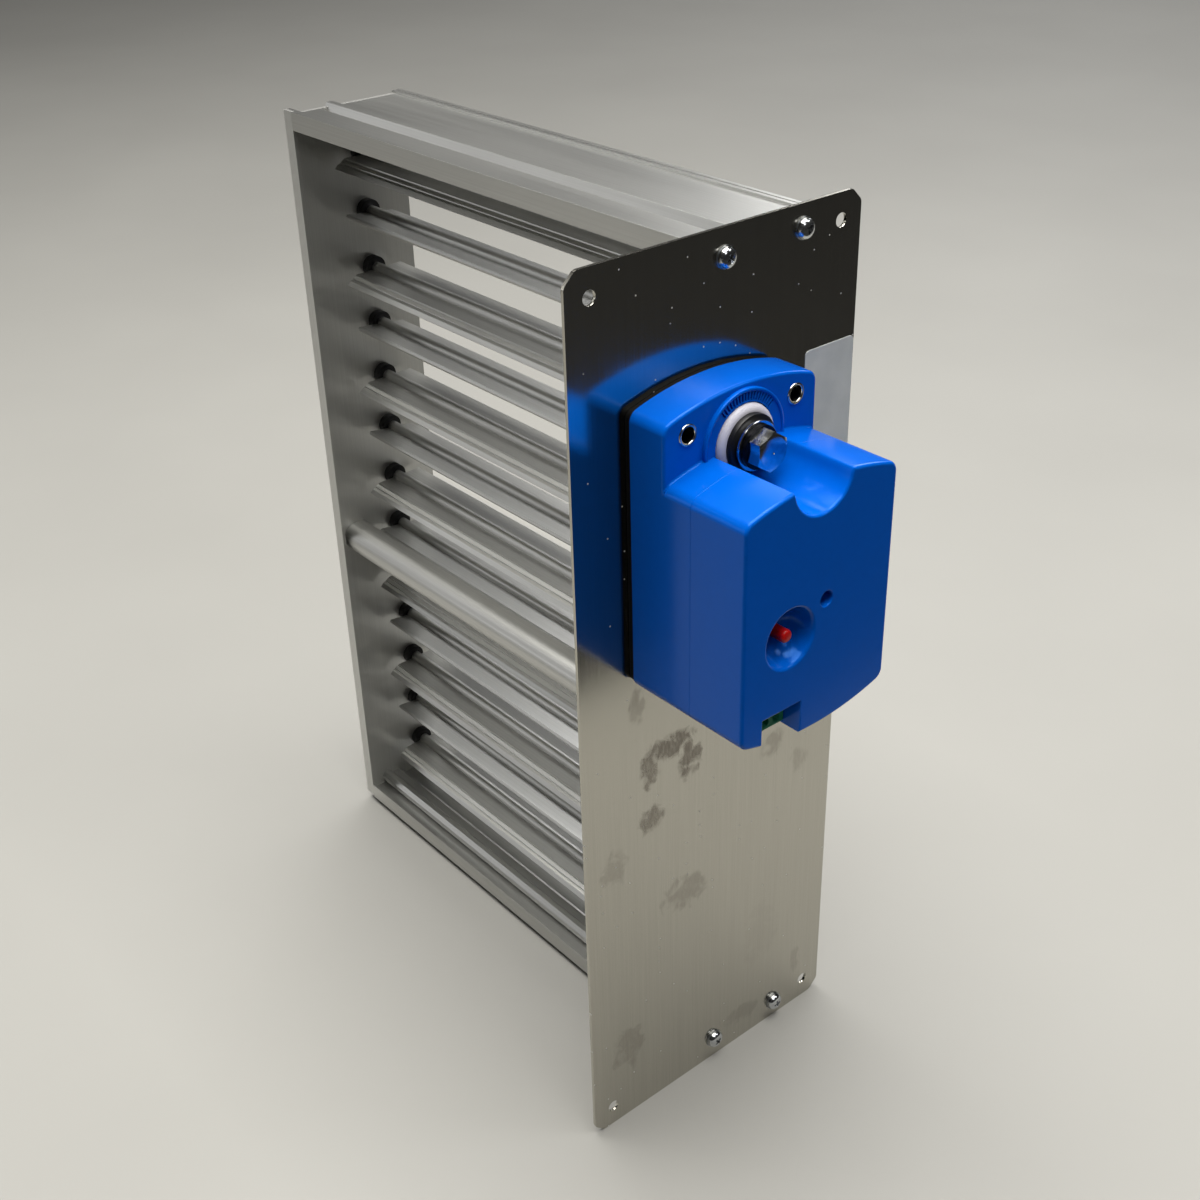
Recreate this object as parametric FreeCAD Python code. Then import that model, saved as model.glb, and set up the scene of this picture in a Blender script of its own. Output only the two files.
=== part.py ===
import FreeCAD, Part
import math
import os

# Opposed-blade zone damper with its side plate, geared blades, crank link and 90 degree actuator.
# Millimetres. +X leaves the plate on the actuator's side, +Y goes with the air, +Z is up.
# The origin is on the plate's inner face, at the centre of its four-hole pattern.

os.makedirs("parts", exist_ok=True)
V = FreeCAD.Vector
X_AXIS = V(1, 0, 0)

# Blades and frame
blade_count = 13
blade_pitch = 25.4
end_margin = 22.225
frame_length = 247.65
frame_depth = 57.15
frame_front = -10.3
blade_setback = 32.8
frame_height = (blade_count - 1) * blade_pitch + 2 * end_margin
frame_back = frame_front + frame_depth
frame_half = frame_height / 2
blade_y = frame_front + blade_setback
top_blade_z = (blade_count - 1) * blade_pitch / 2

# Side plate
plate_thickness = 1.2
plate_width = 127.0
plate_overhang = 3.175
plate_height = frame_height + 2 * plate_overhang
plate_corner_cut = 4.5
hole_inset = 9.5
hole_diameter = 5.0

# Rail section, heights measured inwards from the lip's outer face
wall = 1.5
rail_lip_width = 3.2
rail_skin = 1.8
rail_front_leg = 7.6
rail_back_leg = 4.6
groove_from_front = 15.5
groove_width = 5.0
groove_floor = 1.2
groove_depth = 6.0
fin_width = 2.8
fin_height = 0.3
ridge_width = 1.8
ridge_gap = 0.6
ridge_height = 0.9
screw_port = 2.9
port_wall = 1.7
port_radius = screw_port / 2 + port_wall
front_port_setback = 11.3
front_port_depth = 6.6
back_port_setback = 46.4
back_port_depth = 5.0

# Jamb section
jamb_web = 2.0
jamb_step = 0.8
jamb_leg = 6.0
jamb_short = 2.0
corner_notch = 1.2
gear_space = 18.0

# Blade section, in its own frame with the lip towards -u
lip_reach = blade_pitch / 2 + 3.1
edge_reach = blade_pitch / 2 + 0.1
wing_top = -0.35
wing_thickness = 1.4
lip_drop = 4.1
lip_step = 0.3
lip_root = 5.2
bead_thickness = 2.0
bead_middle = -1.25
tube_radius = 2.6
spindle_diameter = 3.0
spindle_grip = 12.0
odd_tilt = 1.5
even_tilt = 6.0
end_play = 0.3
running_clearance = 0.05

# Bushings
collar_radius = 5.6
collar_length = 3.75
neck_width = 6.4

# Blade gears
gear_teeth = 12
gear_width = 6.0
gear_hub_radius = 4.2
gear_gap = 0.4
gear_hub_length = 2.0
pressure_angle = 20.0
backlash = 0.25
root_spread = 0.06

# Mullion
mullion_blade = 8
mullion_height = 14.0
mullion_front_setback = 2.5
mullion_depth = 11.3
mullion_wall = 1.4

# Crank link between the actuator's shaft and one blade
driven_blade = 3
crank_radius = 14.0
crank_thickness = 2.5
crank_lead = 48.0
crank_gap = 1.8
link_gap = 1.0
link_thickness = 2.0
link_width = 7.0
crank_pin_radius = 1.5
crank_end_radius = 4.0
blade_stub_radius = 2.5
shaft_hub_radius = 8.0

# Actuator
shaft_y = -8.5
shaft_z = 115.2
shaft_radius = 5.0
actuator_width = 67.0
actuator_bottom = 23.5
shelf_top = 134.3
block_top = 114.5
arch_rise = 5.5
back_plate_thickness = 2.8
back_plate_inset = 0.7
shelf_front = 20.0
seam_front = 32.0
block_front = 56.0
housing_corner = 3.0
housing_chamfer = 1.3
bow_step_count = 6
corner_step_count = 3
hub_radius = 12.5
hub_bore_floor = 8.0
hub_front = 23.0
scoop_clearance = 0.3
rim_radius = 17.5
rim_height = 1.6
eyelet_spread = 47.2
eyelet_drop = 10.3
eyelet_hole = 5.4
eyelet_flange = 7.4
eyelet_wall = 0.5
dish_radius = 10.3
dish_depth = 9.0
dish_step_count = 4
dish_offset = -12.5
dish_z = 62.5
button_radius = 2.3
button_length = 17.0
button_tip = 54.5
button_travel = 3.0
button_chamfer = 0.5
index_hole_radius = 2.7
index_hole_depth = 6.0
index_hole_offset = 3.3
index_hole_z = 70.9
notch_width = 17.6
notch_offset = -15.3
notch_top = 36.2
notch_floor = 37.0
terminal_front = 47.0
terminal_height = 8.8
terminal_pitch = 5.08
terminal_poles = 3
terminal_slack = 0.2
terminal_well = 5.0
terminal_screw_radius = 1.7
terminal_screw_depth = 1.5
wire_entry = 1.4
wire_entry_setback = 2.0
wire_entry_depth = 4.0

# Stack under the clamp bolt
friction_ring_radius = 10.0
friction_ring_thickness = 2.0
shaft_washer_radius = 8.5
shaft_washer_thickness = 2.0
spring_washer_radius = 7.4
spring_washer_thickness = 1.6
bolt_across_flats = 12.0
bolt_head_height = 5.4
bolt_thread = 8.0
bolt_length = 18.0
bolt_chamfer = 0.8
bolt_turn = -18.0

# Screws
head_radius = 3.6
head_height = 2.5
screw_thread = 2.9
screw_length = 12.0
screw_clearance = 3.6
washer_radius = 3.9
washer_thickness = 0.6
flat_head_radius = 2.9
flat_head_height = 1.6
actuator_screw_thread = 3.8
actuator_screw_spread = 43.0
actuator_screw_z = 45.0
screw_slack = 0.2
shaft_slack = 2.0

# Sticker
label_width = 23.8
label_height = 64.0
label_drop = 51.6
label_thickness = 0.2
label_corner = 1.2

# Flats round a turned surface, so that a part with so many small pieces stays light
large_flat_count = 24
medium_flat_count = 12
small_flat_count = 8
pin_flat_count = 6
bolt_side_count = 6

# How far a cutting tool runs past the face that it opens
past = 1.0

plate_front = plate_thickness
far_end = -frame_length
far_web_outer = far_end + jamb_step
far_web_inner = far_web_outer + jamb_web
drive_web_outer = -gear_space
drive_web_inner = drive_web_outer - jamb_web
blade_start = far_web_inner + collar_length + end_play
blade_stop = drive_web_inner - collar_length - end_play
gear_back = drive_web_outer + gear_gap + gear_hub_length
gear_front = gear_back + gear_width
jamb_back = frame_back - jamb_short
front_port_y = frame_front + front_port_setback
back_port_y = frame_front + back_port_setback
spindle_radius = spindle_diameter / 2
mullion_z = top_blade_z - (mullion_blade - 1) * blade_pitch
mullion_front = frame_front + mullion_front_setback
mullion_back = mullion_front + mullion_depth


def blade_axis(number):
    """Height of a blade's axis; blade 1 is at the top."""
    return top_blade_z - (number - 1) * blade_pitch


def box(x0, x1, y0, y1, z0, z1):
    return Part.makeBox(x1 - x0, y1 - y0, z1 - z0, V(x0, y0, z0))


def ring_points(y, z, radius, flats):
    """Corners of a regular (y, z) outline, inside the circle of the radius, with flats across Y and Z."""
    step = 2 * math.pi / flats
    angles = [step * (corner + 0.5) for corner in range(flats)]
    return [(y + radius * math.cos(angle), z + radius * math.sin(angle)) for angle in angles]


def rod(x0, x1, y, z, radius, flats=small_flat_count):
    """A round bar along X. Cut away, it leaves a hole that grips the same bar."""
    return prism(ring_points(y, z, radius, flats), x0, x1)


def bore(x0, x1, y, z, radius, flats=small_flat_count):
    """A clearance hole along X: its flats stand off by the radius, so a bar turns in it freely."""
    return prism(ring_points(y, z, radius / math.cos(math.pi / flats), flats), x0, x1)


def tube(x0, x1, y, z, radius, bar, flats=small_flat_count):
    """A washer or ring that closes on a bar."""
    return rod(x0, x1, y, z, radius, flats).cut(rod(x0, x1, y, z, bar))


def prism(points, x0, x1):
    """Extrude a closed (y, z) outline along X."""
    corners = [V(x0, y, z) for y, z in points]
    corners.append(corners[0])
    return Part.Face(Part.makePolygon(corners)).extrude(V(x1 - x0, 0, 0))


def facet(corners):
    """A flat face, or None where its corners fall together on the axis."""
    apart = []
    for corner in corners:
        if not apart or min(corner.distanceToPoint(other) for other in apart) > 0.0001:
            apart.append(corner)
    if len(apart) < 3:
        return None
    return Part.Face(Part.makePolygon(apart + [apart[0]]))


def turned(profile, y, z, flats=small_flat_count):
    """Turn a closed (x, radius) profile about the X line through (y, z)."""
    rings = []
    for x, radius in profile:
        rings.append([V(x, py, pz) for py, pz in ring_points(y, z, radius, flats)])
    faces = []
    for first, second in zip(rings, rings[1:] + rings[:1]):
        for side in range(flats):
            after = (side + 1) % flats
            face = facet([first[side], first[after], second[after], second[side]])
            if face:
                faces.append(face)
    solid = Part.makeSolid(Part.makeShell(faces))
    if solid.Volume < 0:
        solid.reverse()
    return solid.removeSplitter()


def joined(shapes):
    result = shapes[0]
    for shape in shapes[1:]:
        result = result.fuse(shape)
    return result.removeSplitter()


def cut_all(shape, tools):
    for tool in tools:
        shape = shape.cut(tool)
    return shape


def group(shapes):
    return Part.makeCompound(shapes)


def save(name, shape):
    shape.exportStep("parts/" + name + ".step")


# Plate and frame

def plate_screw_places():
    front = frame_half - front_port_depth
    back = frame_half - back_port_depth
    return [(front_port_y, front), (back_port_y, back), (front_port_y, -front), (back_port_y, -back)]


def actuator_screw_places():
    half = actuator_screw_spread / 2
    return [(shaft_y - half, actuator_screw_z), (shaft_y + half, actuator_screw_z)]


def actuator_passages(x0, x1):
    """Clearance holes for the shaft and for the screws that hold the actuator."""
    radius = actuator_screw_thread / 2 + screw_slack
    passages = [bore(x0, x1, y, z, radius) for y, z in actuator_screw_places()]
    passages.append(bore(x0, x1, shaft_y, shaft_z, shaft_radius + shaft_slack, medium_flat_count))
    return passages


def mounting_plate():
    w = plate_width / 2
    h = plate_height / 2
    c = plate_corner_cut
    outline = [(-w + c, -h), (w - c, -h), (w, -h + c), (w, h - c)]
    outline += [(w - c, h), (-w + c, h), (-w, h - c), (-w, -h + c)]
    plate = prism(outline, 0, plate_thickness)
    for y in (-w + hole_inset, w - hole_inset):
        for z in (-h + hole_inset, h - hole_inset):
            hole = Part.makeCylinder(hole_diameter / 2, plate_thickness, V(0, y, z), X_AXIS)
            plate = plate.cut(hole)
    for y, z in plate_screw_places():
        plate = plate.cut(bore(0, plate_thickness, y, z, screw_clearance / 2))
    return cut_all(plate, actuator_passages(0, plate_thickness))


def rail_section():
    """Outline of a rail as (y, depth inwards from the lip's outer face)."""
    front = frame_front
    back = frame_back
    groove = front + groove_from_front
    fin = groove + groove_width
    floor = rail_skin + wall
    ridge_2 = back - ridge_width
    ridge_1 = ridge_2 - ridge_gap - ridge_width
    outer = [(front, 0), (front + rail_lip_width, 0), (front + rail_lip_width + 0.4, rail_skin)]
    outer += [(groove, rail_skin), (groove, groove_depth), (groove + groove_floor, groove_depth)]
    outer += [(fin, fin_height), (fin + fin_width, fin_height), (fin + fin_width + 0.4, rail_skin)]
    outer += [(ridge_1, rail_skin), (ridge_1, ridge_height), (ridge_1 + ridge_width, ridge_height)]
    outer += [(ridge_1 + ridge_width, rail_skin), (ridge_2, rail_skin)]
    outer += [(ridge_2, ridge_height), (back, ridge_height)]
    inner = [(back, rail_back_leg), (back - wall, rail_back_leg), (back - wall, floor)]
    inner += [(fin + wall, floor), (groove + groove_floor + wall, groove_depth + wall)]
    inner += [(groove - wall, groove_depth + wall), (groove - wall, floor)]
    inner += [(front + wall, floor), (front + wall, rail_front_leg), (front, rail_front_leg)]
    return outer + inner


def rail(side):
    """Top rail for side 1, bottom rail for side -1."""
    outline = [(y, side * (frame_half - depth)) for y, depth in rail_section()]
    shape = prism(outline, far_end, 0)
    ports = []
    for y, depth in ((front_port_y, front_port_depth), (back_port_y, back_port_depth)):
        z = side * (frame_half - depth)
        shape = shape.fuse(rod(far_end, 0, y, z, port_radius))
        ports.append(rod(far_end, 0, y, z, screw_port / 2))
    shape = cut_all(shape, ports)
    before = frame_front - past
    skin = side * (frame_half - rail_skin)
    inside = side * (frame_half - front_port_depth - port_radius - past)
    outside = side * (frame_half + past)
    low, high = sorted((skin, inside))
    shape = shape.cut(box(far_end - past, far_web_inner, before, frame_back + past, low, high))
    low, high = sorted((outside, inside))
    shape = shape.cut(box(far_end - past, far_end + jamb_leg, before, frame_front + wall, low, high))
    return shape.removeSplitter()


def jamb_section():
    """Outline of a jamb as (y, depth inwards from the lip's outer face)."""
    lip = frame_front + rail_lip_width
    web = jamb_step + jamb_web
    ridge = jamb_back - ridge_width
    points = [(frame_front, 0), (lip, 0), (lip + 0.4, jamb_step)]
    points += [(ridge, jamb_step), (ridge, 0), (jamb_back, 0), (jamb_back, web)]
    points += [(frame_front + wall, web), (frame_front + wall, jamb_leg), (frame_front, jamb_leg)]
    return points


def jamb(outer_x, direction, half):
    """A jamb standing on Z whose lip plane is at outer_x and whose legs point in direction."""
    corners = [V(outer_x + direction * depth, y, -half) for y, depth in jamb_section()]
    corners.append(corners[0])
    return Part.Face(Part.makePolygon(corners)).extrude(V(0, 0, 2 * half))


def bushing_window(x0, x1, number):
    z = blade_axis(number)
    half = neck_width / 2
    return box(x0, x1, blade_y - half, blade_y + half, z - half, z + half)


def far_jamb():
    shape = jamb(far_end, 1, frame_half)
    x0 = far_end - past
    x1 = far_end + jamb_leg + past
    skin = frame_half - rail_skin
    for low, high in ((skin, frame_half + past), (-frame_half - past, -skin)):
        shape = shape.cut(box(x0, x1, frame_front + wall, frame_back, low, high))
    foot = -frame_half + corner_notch
    shape = shape.cut(box(x0, x1, frame_front - past, frame_back, -frame_half - past, foot))
    for number in range(1, blade_count + 1):
        shape = shape.cut(bushing_window(far_end, far_web_inner, number))
    for y, z in plate_screw_places() + [mullion_port()]:
        shape = shape.cut(flat_screw(far_web_outer, y, z, 1))
    return shape.removeSplitter()


def drive_jamb():
    half = frame_half - rail_skin - wall
    shape = jamb(drive_web_outer + jamb_step, -1, half)
    x0 = drive_web_inner - jamb_leg
    x1 = drive_web_outer + jamb_step
    groove = frame_front + groove_from_front
    for side in (1, -1):
        low, high = sorted((side * (frame_half + past), side * (frame_half - groove_depth - wall)))
        shape = shape.cut(box(x0, x1, groove - wall, groove + groove_width + wall, low, high))
        low, high = sorted((side * (frame_half + past), side * (frame_half - rail_front_leg)))
        shape = shape.cut(box(x0, x1, frame_front - past, frame_front + wall, low, high))
        low, high = sorted((side * (frame_half + past), side * (frame_half - rail_back_leg)))
        shape = shape.cut(box(x0, x1, frame_back - wall, frame_back + past, low, high))
        for y, depth in ((front_port_y, front_port_depth), (back_port_y, back_port_depth)):
            port = rod(x0, x1, y, side * (frame_half - depth), port_radius)
            shape = shape.cut(port)
    for number in range(1, blade_count + 1):
        shape = shape.cut(bushing_window(x0, x1, number))
    y, z = mullion_port()
    return shape.cut(flat_screw(drive_web_outer, y, z, -1)).removeSplitter()


# Mullion

def mullion_port():
    return (mullion_front + mullion_height / 2, mullion_z)


def bullnose(front, back, radius, x0, x1):
    """A bar with a half-round front and a square back, along X."""
    outline = [(back, mullion_z + radius), (back, mullion_z - radius)]
    for step in range(small_flat_count + 1):
        angle = math.pi * (1.5 - step / small_flat_count)
        outline.append((front + radius + radius * math.cos(angle), mullion_z + radius * math.sin(angle)))
    return prism(outline, x0, x1)


def mullion():
    x0 = far_web_inner
    x1 = drive_web_inner
    t = mullion_wall
    outer = bullnose(mullion_front, mullion_back, mullion_height / 2, x0, x1)
    hollow = bullnose(mullion_front + t, mullion_back - t, mullion_height / 2 - t, x0, x1)
    y, z = mullion_port()
    port = rod(x0, x1, y, z, port_radius)
    rib = box(x0, x1, y - t / 2, y + t / 2, z - mullion_height / 2 + t / 2, z + mullion_height / 2 - t / 2)
    shape = outer.cut(hollow.cut(port.fuse(rib)))
    return shape.cut(rod(x0, x1, y, z, screw_port / 2)).removeSplitter()


# Bushings

def far_bushing(number):
    """Collar and square neck, with the fixed pin that the blade's tube turns on."""
    z = blade_axis(number)
    collar_end = far_web_inner + collar_length
    neck = bushing_window(far_web_outer, far_web_inner, number)
    collar = rod(far_web_inner, collar_end, blade_y, z, collar_radius)
    pin_radius = spindle_radius - running_clearance
    pin = rod(collar_end, collar_end + spindle_grip, blade_y, z, pin_radius, pin_flat_count)
    return joined([neck, collar, pin])


def drive_bushing(number):
    """Collar and square neck, bored for the gear's spindle."""
    z = blade_axis(number)
    collar_end = drive_web_inner - collar_length
    neck = bushing_window(drive_web_inner, drive_web_outer, number)
    collar = rod(collar_end, drive_web_inner, blade_y, z, collar_radius)
    bore_radius = spindle_radius + running_clearance
    passage = bore(collar_end, drive_web_outer, blade_y, z, bore_radius, pin_flat_count)
    return joined([neck, collar]).cut(passage)


# Blades

def blade_section():
    """Outline of the blade's wings as (u, v), lip towards -u, edge bead towards +u."""
    top = wing_top
    under = wing_top - wing_thickness
    tip = -lip_reach
    band = -edge_reach + 1.6
    low = top - lip_step
    nose = top - lip_drop
    lip_top = [(band + 0.4, top), (band + 0.2, low - 0.35), (band - 0.1, low - 0.15)]
    lip_top += [(band - 1.5, low - 1.0), (band - 1.6, low - 1.4), (band - 1.9, low - 1.35)]
    lip_top += [(tip + 1.5, low - 1.75), (tip, nose + 0.55)]
    lip_under = [(tip + 0.6, nose), (tip + 3.4, under - lip_step - 0.9), (tip + lip_root, under)]
    bead = edge_reach
    middle = bead_middle
    half = bead_thickness / 2
    edge_under = [(bead - 3.0, under), (bead - 1.9, middle - half + 0.1), (bead - 0.6, middle - half)]
    edge_top = [(bead, middle), (bead - 0.6, middle + half)]
    edge_top += [(bead - 1.9, middle + half - 0.1), (bead - 2.6, top)]
    return lip_top + lip_under + edge_under + edge_top


def tilt_of(number):
    """Blade's angle about +X in the photographed pose; odd fronts hang down, even ones lift."""
    return odd_tilt if number % 2 else -even_tilt


def square_bar(x0, x1, z):
    """The square that a blade's tube is pierced with, and that its gear's spindle fills."""
    r = spindle_radius
    return box(x0, x1, blade_y - r, blade_y + r, z - r, z + r)


def blade(number):
    z = blade_axis(number)
    facing = 1 if number % 2 else -1
    outline = [(blade_y + facing * u, z + v) for u, v in blade_section()]
    wings = prism(outline, blade_start, blade_stop)
    shape = joined([wings, rod(blade_start, blade_stop, blade_y, z, tube_radius, medium_flat_count)])
    shape = shape.cut(square_bar(blade_start, blade_stop, z))
    shape.rotate(V(0, blade_y, z), X_AXIS, tilt_of(number))
    return shape


# Gears

def involute(angle, base):
    """Point of the involute of a base circle, unrolled by an angle in radians."""
    y = base * (math.cos(angle) + angle * math.sin(angle))
    z = base * (math.sin(angle) - angle * math.cos(angle))
    return y, z


def gear_outline():
    """Spur gear outline about the origin with a tooth on +Y."""
    module = blade_pitch / gear_teeth
    pitch_radius = blade_pitch / 2
    base = pitch_radius * math.cos(math.radians(pressure_angle))
    tip = pitch_radius + 0.7 * module
    root = pitch_radius - 0.95 * module
    at_pitch = math.tan(math.radians(pressure_angle))
    y, z = involute(at_pitch, base)
    half_tooth = math.pi / gear_teeth / 2 - backlash / 2 / pitch_radius
    start = half_tooth + math.atan2(z, y)
    flank = []
    for radius in (pitch_radius, tip):
        unroll = math.sqrt(max((radius / base) ** 2 - 1, 0))
        y, z = involute(unroll, base)
        flank.append((radius, start - math.atan2(z, y)))
    flank.insert(0, (root, flank[0][1] + root_spread))
    outline = []
    for tooth in range(gear_teeth):
        centre = 2 * math.pi * tooth / gear_teeth
        sides = [(radius, centre - angle) for radius, angle in flank]
        sides += [(radius, centre + angle) for radius, angle in reversed(flank)]
        outline += [(radius * math.cos(a), radius * math.sin(a)) for radius, a in sides]
    return outline


def gear(number):
    """Blade gear with the spindle that grips the blade's tube; neighbours mesh tooth to gap."""
    z = blade_axis(number)
    phase = math.pi / 2 if number % 2 else math.pi / 2 + math.pi / gear_teeth
    c = math.cos(phase)
    s = math.sin(phase)
    outline = [(blade_y + c * y - s * w, z + s * y + c * w) for y, w in gear_outline()]
    wheel = prism(outline, gear_back, gear_front)
    hub = rod(gear_back - gear_hub_length, gear_back, blade_y, z, gear_hub_radius, pin_flat_count)
    journal = rod(blade_stop, gear_back, blade_y, z, spindle_radius, pin_flat_count)
    grip = square_bar(blade_stop - spindle_grip, blade_stop, z)
    grip.rotate(V(0, blade_y, z), X_AXIS, tilt_of(number))
    pieces = [wheel, hub, journal, grip]
    if number == driven_blade:
        pieces.append(rod(gear_front, -crank_gap, blade_y, z, blade_stub_radius))
    return joined(pieces)


# Crank link

link_y = blade_y - shaft_y
link_z = blade_axis(driven_blade) - shaft_z
crank_angle = math.degrees(math.atan2(link_z, link_y)) + crank_lead
crank_y = crank_radius * math.cos(math.radians(crank_angle))
crank_z = crank_radius * math.sin(math.radians(crank_angle))
crank_back = -crank_gap - crank_thickness
link_front = crank_back - link_gap
link_back = link_front - link_thickness
pin_head_thickness = 0.8


def strap(y0, z0, r0, y1, z1, r1, x0, x1):
    """A flat lever with round ends."""
    length = math.hypot(y1 - y0, z1 - z0)
    cy = (z1 - z0) / length
    cz = -(y1 - y0) / length
    corners = [(y0 + cy * r0, z0 + cz * r0), (y1 + cy * r1, z1 + cz * r1)]
    corners += [(y1 - cy * r1, z1 - cz * r1), (y0 - cy * r0, z0 - cz * r0)]
    ends = [rod(x0, x1, y0, z0, r0, medium_flat_count), rod(x0, x1, y1, z1, r1, medium_flat_count)]
    return joined([prism(corners, x0, x1)] + ends)


def crank(y, z, root_radius, grip, grip_flats):
    """Crank plate with its riveted pin, which carries the link."""
    pin_y = y + crank_y
    pin_z = z + crank_z
    plate = strap(y, z, root_radius, pin_y, pin_z, crank_end_radius, crank_back, -crank_gap)
    plate = plate.cut(rod(crank_back, -crank_gap, y, z, grip, grip_flats))
    head_front = link_back - running_clearance * 4
    pin = rod(head_front, crank_back, pin_y, pin_z, crank_pin_radius)
    head = rod(head_front - pin_head_thickness, head_front, pin_y, pin_z, crank_pin_radius + 1)
    return joined([plate, pin, head])


def link_rod():
    y0 = shaft_y + crank_y
    z0 = shaft_z + crank_z
    y1 = y0 + link_y
    z1 = z0 + link_z
    half = link_width / 2
    shape = strap(y0, z0, half, y1, z1, half, link_back, link_front)
    for y, z in ((y0, z0), (y1, z1)):
        shape = shape.cut(bore(link_back, link_front, y, z, crank_pin_radius + running_clearance))
    return shape


# Actuator

body_back = plate_front + back_plate_thickness


def arched(top, bottom, x0, x1, inset=0):
    """Housing block along X with straight sides, bowed top and bottom and rounded corners."""
    left = shaft_y - actuator_width / 2 + inset
    right = shaft_y + actuator_width / 2 - inset
    low = bottom + arch_rise
    high = top - arch_rise
    bottom_bow = Part.Arc(V(x0, right, low), V(x0, shaft_y, bottom), V(x0, left, low)).toShape()
    top_bow = Part.Arc(V(x0, left, high), V(x0, shaft_y, top), V(x0, right, high)).toShape()
    left_side = Part.makeLine(V(x0, left, low), V(x0, left, high))
    right_side = Part.makeLine(V(x0, right, high), V(x0, right, low))
    body = Part.Face(Part.Wire([bottom_bow, left_side, top_bow, right_side])).extrude(X_AXIS)
    upright = [e for e in body.Edges if abs(e.tangentAt(e.FirstParameter).x) > 0.99]
    body = body.makeFillet(housing_corner, upright)
    outline = [e for e in body.Edges if e.BoundBox.XMax < x0 + 0.001]
    points = []
    for edge in Part.sortEdges(outline)[0]:
        steps = corner_step_count
        if edge.Length > 3 * housing_corner:
            steps = bow_step_count
        if edge.Curve.TypeId == "Part::GeomLine":
            steps = 1
        points += edge.discretize(steps + 1)[:-1]
    return prism([(point.y, point.z) for point in points], x0, x1)


def front_edges(shape, x):
    """Edges that lie in the plane of a given x."""
    found = []
    for edge in shape.Edges:
        box_of = edge.BoundBox
        if abs(box_of.XMin - x) < 0.001 and abs(box_of.XMax - x) < 0.001:
            found.append(edge)
    return found


def back_plate():
    low = actuator_bottom + back_plate_inset
    high = shelf_top - back_plate_inset
    shape = arched(high, low, plate_front, body_back, back_plate_inset)
    return cut_all(shape, actuator_passages(plate_front, body_back))


def eyelet_places():
    half = eyelet_spread / 2
    z = shelf_top - eyelet_drop
    return [(shaft_y - half, z), (shaft_y + half, z)]


def rear_housing():
    shelf = arched(shelf_top, actuator_bottom, body_back, shelf_front)
    shelf = shelf.makeChamfer(housing_chamfer, front_edges(shelf, shelf_front))
    block = arched(block_top, actuator_bottom, body_back, seam_front)
    rim_back = shelf_front - housing_chamfer
    rim = rod(rim_back, shelf_front + rim_height, shaft_y, shaft_z, rim_radius, large_flat_count)
    shape = joined([shelf, block, rim])
    scoop = hub_radius + scoop_clearance
    socket = hub_radius + running_clearance
    passage = shaft_radius + scoop_clearance
    tools = [bore(shelf_front, seam_front, shaft_y, shaft_z, scoop, large_flat_count)]
    tools.append(bore(hub_bore_floor, shelf_front, shaft_y, shaft_z, socket, large_flat_count))
    tools.append(bore(body_back, hub_bore_floor, shaft_y, shaft_z, passage, medium_flat_count))
    for y, z in eyelet_places():
        tools.append(rod(body_back, shelf_front, y, z, eyelet_hole / 2 + eyelet_wall))
    for y, z in actuator_screw_places():
        tools.append(rod(body_back, body_back + screw_length, y, z, actuator_screw_thread / 2))
    return cut_all(shape, tools).removeSplitter()


def notch_sides():
    middle = shaft_y + notch_offset
    return middle - notch_width / 2, middle + notch_width / 2


def dish(y):
    """Round finger dish, sunk into the front face."""
    sphere_radius = (dish_radius ** 2 + dish_depth ** 2) / (2 * dish_depth)
    centre = block_front - dish_depth + sphere_radius
    half_angle = math.asin(dish_radius / sphere_radius)
    if dish_depth > dish_radius:
        half_angle = math.pi - half_angle
    profile = [(block_front + past, 0), (block_front + past, dish_radius)]
    for step in range(dish_step_count):
        angle = half_angle * (1 - step / dish_step_count)
        profile.append((centre - sphere_radius * math.cos(angle), sphere_radius * math.sin(angle)))
    profile.append((block_front - dish_depth, 0))
    return turned(profile, y, dish_z, large_flat_count)


def front_housing():
    shape = arched(block_top, actuator_bottom, seam_front, block_front)
    shape = shape.makeChamfer(housing_chamfer, front_edges(shape, block_front))
    y = shaft_y + dish_offset
    button_end = button_tip - button_length - button_travel - 0.5
    hole_back = block_front - index_hole_depth
    hole_y = shaft_y + index_hole_offset
    y0, y1 = notch_sides()
    scoop = hub_radius + scoop_clearance
    tools = [bore(seam_front, block_front, shaft_y, shaft_z, scoop, large_flat_count)]
    tools.append(dish(y))
    tools.append(bore(button_end, block_front, y, dish_z, button_radius + running_clearance))
    tools.append(rod(hole_back, block_front, hole_y, index_hole_z, index_hole_radius, medium_flat_count))
    tools.append(box(notch_floor, block_front + past, y0, y1, actuator_bottom - past, notch_top))
    return cut_all(shape, tools).removeSplitter()


def eyelet(y, z):
    hole = eyelet_hole / 2
    front = shelf_front + eyelet_wall
    profile = [(body_back, hole), (body_back, hole + eyelet_wall), (shelf_front, hole + eyelet_wall)]
    profile += [(shelf_front, eyelet_flange / 2), (front, eyelet_flange / 2), (front, hole)]
    return turned(profile, y, z)


def drive_shaft():
    shaft = rod(crank_back, hub_front, shaft_y, shaft_z, shaft_radius, medium_flat_count)
    return shaft.cut(rod(hub_front - bolt_length, hub_front, shaft_y, shaft_z, bolt_thread / 2))


def output_hub():
    """White hub that the actuator turns; its hole grips the shaft."""
    back = hub_bore_floor + end_play
    hub = rod(back, hub_front, shaft_y, shaft_z, hub_radius, large_flat_count)
    return hub.cut(rod(back, hub_front, shaft_y, shaft_z, shaft_radius, medium_flat_count))


friction_ring_front = hub_front + friction_ring_thickness
shaft_washer_front = friction_ring_front + shaft_washer_thickness
spring_washer_front = shaft_washer_front + spring_washer_thickness


def stacked_ring(x0, x1, radius):
    """A washer of the stack under the clamp bolt."""
    return tube(x0, x1, shaft_y, shaft_z, radius, bolt_thread / 2, medium_flat_count)


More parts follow.
